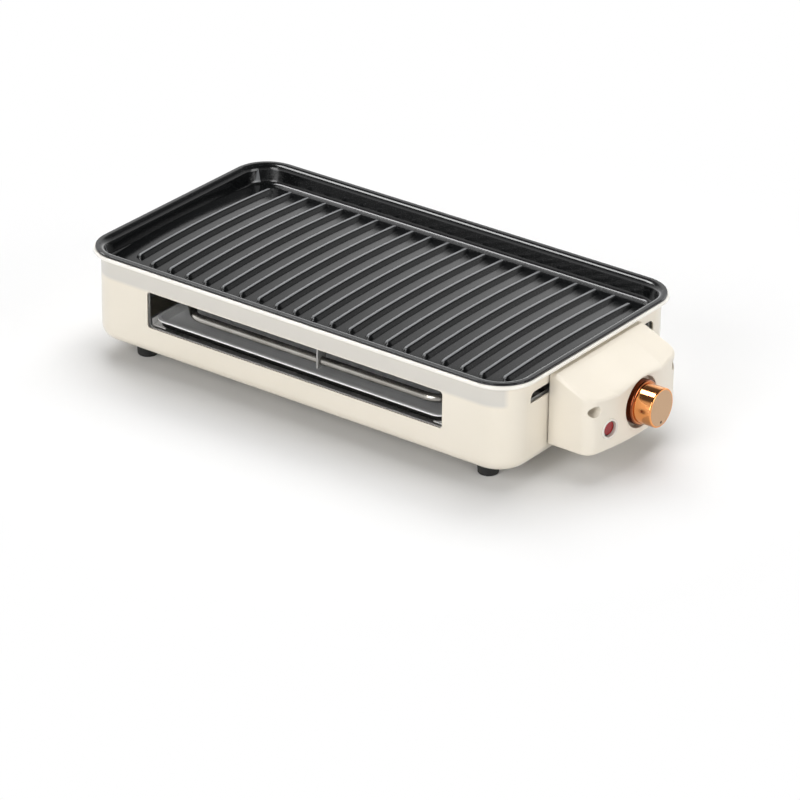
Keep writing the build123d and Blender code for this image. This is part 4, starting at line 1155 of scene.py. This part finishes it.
@dataclass
class Studio:
    """Pale floor, soft lamps, world and camera."""

    azimuth: float = math.radians(36.295)
    elevation: float = math.radians(26.492)
    roll: float = math.radians(0.806)
    distance: float = 3.421242
    aim_right: float = 0.017090
    aim_up: float = -0.020748
    middle: Point = (BODY_X, 0.0, 0.001)
    sensor_mm: float = 36.0
    lens_mm: float = 201.937
    clip_end: float = 30.0
    floor_size: float = 8.0
    floor_cells: int = 8
    paper: float = 0.82
    fade_start: float = 0.24
    fade_end: float = 0.50
    ambient: float = 0.20
    horizon: float = 2.0
    # Heights in the sky, as shares of the way up, with how bright mirrors see it there
    sky: tuple[tuple[float, float], ...] = (
        (0.0, 2.0), (0.16, 2.0), (0.32, 1.1), (0.48, 1.0), (0.6, 0.15), (1.0, 0.05)
    )
    bright_side: Point = (-0.85, 0.5, 0.0)
    dim_towards: float = -1.0
    bright_towards: float = 0.7
    dim_level: float = 0.3
    lamps: tuple[Lamp, ...] = (
        Lamp("back_lamp", (-0.10, 1.15, 1.85), 1.1, 12.9, Lights.DIFFUSE),
        Lamp("left_lamp", (-1.10, 0.75, 1.70), 1.1, 15.6, Lights.DIFFUSE),
        Lamp("top_lamp", (0.10, 0.10, 2.10), 1.2, 15.5, Lights.DIFFUSE),
        Lamp("front_high", (0.10, -1.95, 1.15), 1.0, 15.0, Lights.BOTH),
        Lamp("front_low", (-0.10, -2.30, 0.36), 1.0, 13.5, Lights.BOTH),
        Lamp("side_lamp", (2.30, 0.20, 0.80), 1.2, 18.5, Lights.BOTH),
        Lamp("streak_lamp", (-1.15, -0.15, 1.85), 0.8, 26.0, Lights.GLOSS),
        Lamp("spark_left", (-0.60, -1.70, 1.60), 0.14, 1.8, Lights.GLOSS),
        Lamp("spark_right", (0.20, -1.90, 1.45), 0.14, 1.8, Lights.GLOSS),
    )

    def build(self) -> None:
        """Makes the floor, the lamps, the world and the camera."""
        self.lay_floor()
        for lamp in self.lamps:
            lamp.hang()
        self.light_world()
        self.set_camera()
        bpy.context.scene.view_settings.view_transform = "Standard"

    def background_rays(self, tree: Tree) -> Socket:
        """Marks the rays that see the background.

        Args:
            tree: Node tree of the floor or the world.

        Returns:
            One for camera, glossy and transmission rays and zero for others.
        """
        path = add_node(tree, "ShaderNodeLightPath").outputs
        seen = path["Is Camera Ray"]
        for other in ("Is Glossy Ray", "Is Transmission Ray"):
            inputs = {0: seen, 1: path[other]}
            seen = add_node(tree, "ShaderNodeMath", inputs, operation="MAXIMUM").outputs[0]
        return seen

    def lay_floor(self) -> None:
        """Makes the pale floor, which keeps the shadow and turns white away from the grill."""
        mesh = bmesh.new()
        cells = self.floor_cells
        bmesh.ops.create_grid(mesh, x_segments=cells, y_segments=cells, size=self.floor_size / 2)
        data = bpy.data.meshes.new("floor")
        mesh.to_mesh(data)
        mesh.free()
        floor = bpy.data.objects.new("floor", data)
        bpy.context.scene.collection.objects.link(floor)
        data.materials.append(self.floor_material())

    def floor_material(self) -> bpy.types.Material:
        """Makes the floor's paper: matt by the grill, and plain white to the camera further out.

        Returns:
            The material with its finished node tree.
        """
        made = bpy.data.materials.new("floor_paper")
        made.use_nodes = True
        tree = made.node_tree
        tree.nodes.remove(tree.nodes["Principled BSDF"])
        paper = add_node(tree, "ShaderNodeBsdfDiffuse", {"Color": grey(self.paper)}).outputs[0]
        white = add_node(tree, "ShaderNodeEmission", {"Strength": 1.0}).outputs[0]
        spot = add_node(tree, "ShaderNodeTexCoord").outputs["Object"]
        away = add_node(tree, "ShaderNodeVectorMath", {0: spot}, operation="LENGTH").outputs["Value"]
        inputs = {"Value": away, "From Min": self.fade_start, "From Max": self.fade_end}
        fade = add_node(tree, "ShaderNodeMapRange", inputs, interpolation_type="SMOOTHERSTEP")
        inputs = {0: fade.outputs["Result"], 1: self.background_rays(tree)}
        share = add_node(tree, "ShaderNodeMath", inputs, operation="MULTIPLY").outputs[0]
        mixed = add_node(tree, "ShaderNodeMixShader", {0: share, 1: paper, 2: white}).outputs[0]
        tree.links.new(mixed, tree.nodes["Material Output"].inputs["Surface"])
        return made

    def light_world(self) -> None:
        """Makes the even soft light, the sky that mirrors see and the white that the camera sees."""
        world = bpy.data.worlds.new("studio_world")
        bpy.context.scene.world = world
        world.use_nodes = True
        tree = world.node_tree
        background = tree.nodes["Background"]
        background.inputs["Color"].default_value = grey(1.0)
        inputs = {
            SHARE: self.background_rays(tree),
            NUMBER_A: self.ambient,
            NUMBER_B: self.mirrored_sky(tree),
        }
        soft = add_node(tree, "ShaderNodeMix", inputs, data_type="FLOAT").outputs[NUMBER_OUT]
        camera = add_node(tree, "ShaderNodeLightPath").outputs["Is Camera Ray"]
        inputs = {SHARE: camera, NUMBER_A: soft, NUMBER_B: 1.0}
        level = add_node(tree, "ShaderNodeMix", inputs, data_type="FLOAT").outputs[NUMBER_OUT]
        tree.links.new(level, background.inputs["Strength"])

    def mirrored_sky(self, tree: Tree) -> Socket:
        """Draws the sky that mirrors see: bright low down and on one side, dark overhead.

        Args:
            tree: Node tree of the world.

        Returns:
            How bright it is each way.
        """
        way = add_node(tree, "ShaderNodeTexCoord").outputs["Generated"]
        height = add_node(tree, "ShaderNodeSeparateXYZ", {"Vector": way}).outputs["Z"]
        stops = [(at, grey(level / self.horizon)) for at, level in self.sky]
        shares = add_node(tree, "ShaderNodeValToRGB", {"Fac": height}, stops).outputs["Color"]
        inputs = {0: shares, 1: self.horizon}
        sky = add_node(tree, "ShaderNodeMath", inputs, operation="MULTIPLY").outputs[0]
        inputs = {0: way, 1: self.bright_side}
        towards = add_node(tree, "ShaderNodeVectorMath", inputs, operation="DOT_PRODUCT")
        inputs = {
            "Value": towards.outputs["Value"],
            "From Min": self.dim_towards,
            "From Max": self.bright_towards,
            "To Min": self.dim_level,
            "To Max": 1.0,
        }
        side = add_node(tree, "ShaderNodeMapRange", inputs).outputs["Result"]
        return add_node(tree, "ShaderNodeMath", {0: sky, 1: side}, operation="MULTIPLY").outputs[0]

    def set_camera(self) -> None:
        """Stands the camera where the photograph was taken from."""
        ahead = Vector((math.sin(self.azimuth), -math.cos(self.azimuth), 0.0))
        back = math.cos(self.elevation) * ahead
        back.z = math.sin(self.elevation)
        flat = Vector((math.cos(self.azimuth), math.sin(self.azimuth), 0.0))
        tall = back.cross(flat)
        right = math.cos(self.roll) * flat + math.sin(self.roll) * tall
        up = math.cos(self.roll) * tall - math.sin(self.roll) * flat
        eye = Vector(self.middle) + self.aim_right * right + self.aim_up * up + self.distance * back
        data = bpy.data.cameras.new("camera")
        data.sensor_width = self.sensor_mm
        data.lens = self.lens_mm
        data.clip_end = self.clip_end
        camera = bpy.data.objects.new("camera", data)
        turn = Matrix((right, up, back)).transposed().to_4x4()
        camera.matrix_world = Matrix.Translation(eye) @ turn
        bpy.context.scene.collection.objects.link(camera)
        bpy.context.scene.camera = camera


def main() -> None:
    """Builds and dresses each sub-assembly, then the studio."""
    logging.basicConfig(level=logging.INFO, format="%(name)s: %(message)s")
    dial = Dial()
    for part in (CaseCrest(), dial):
        part.build()
    for part in (Housing(), Cooking(), ControlCase(), dial, Indicator()):
        part.dress()
    Studio().build()


if __name__ == "__main__":
    main()
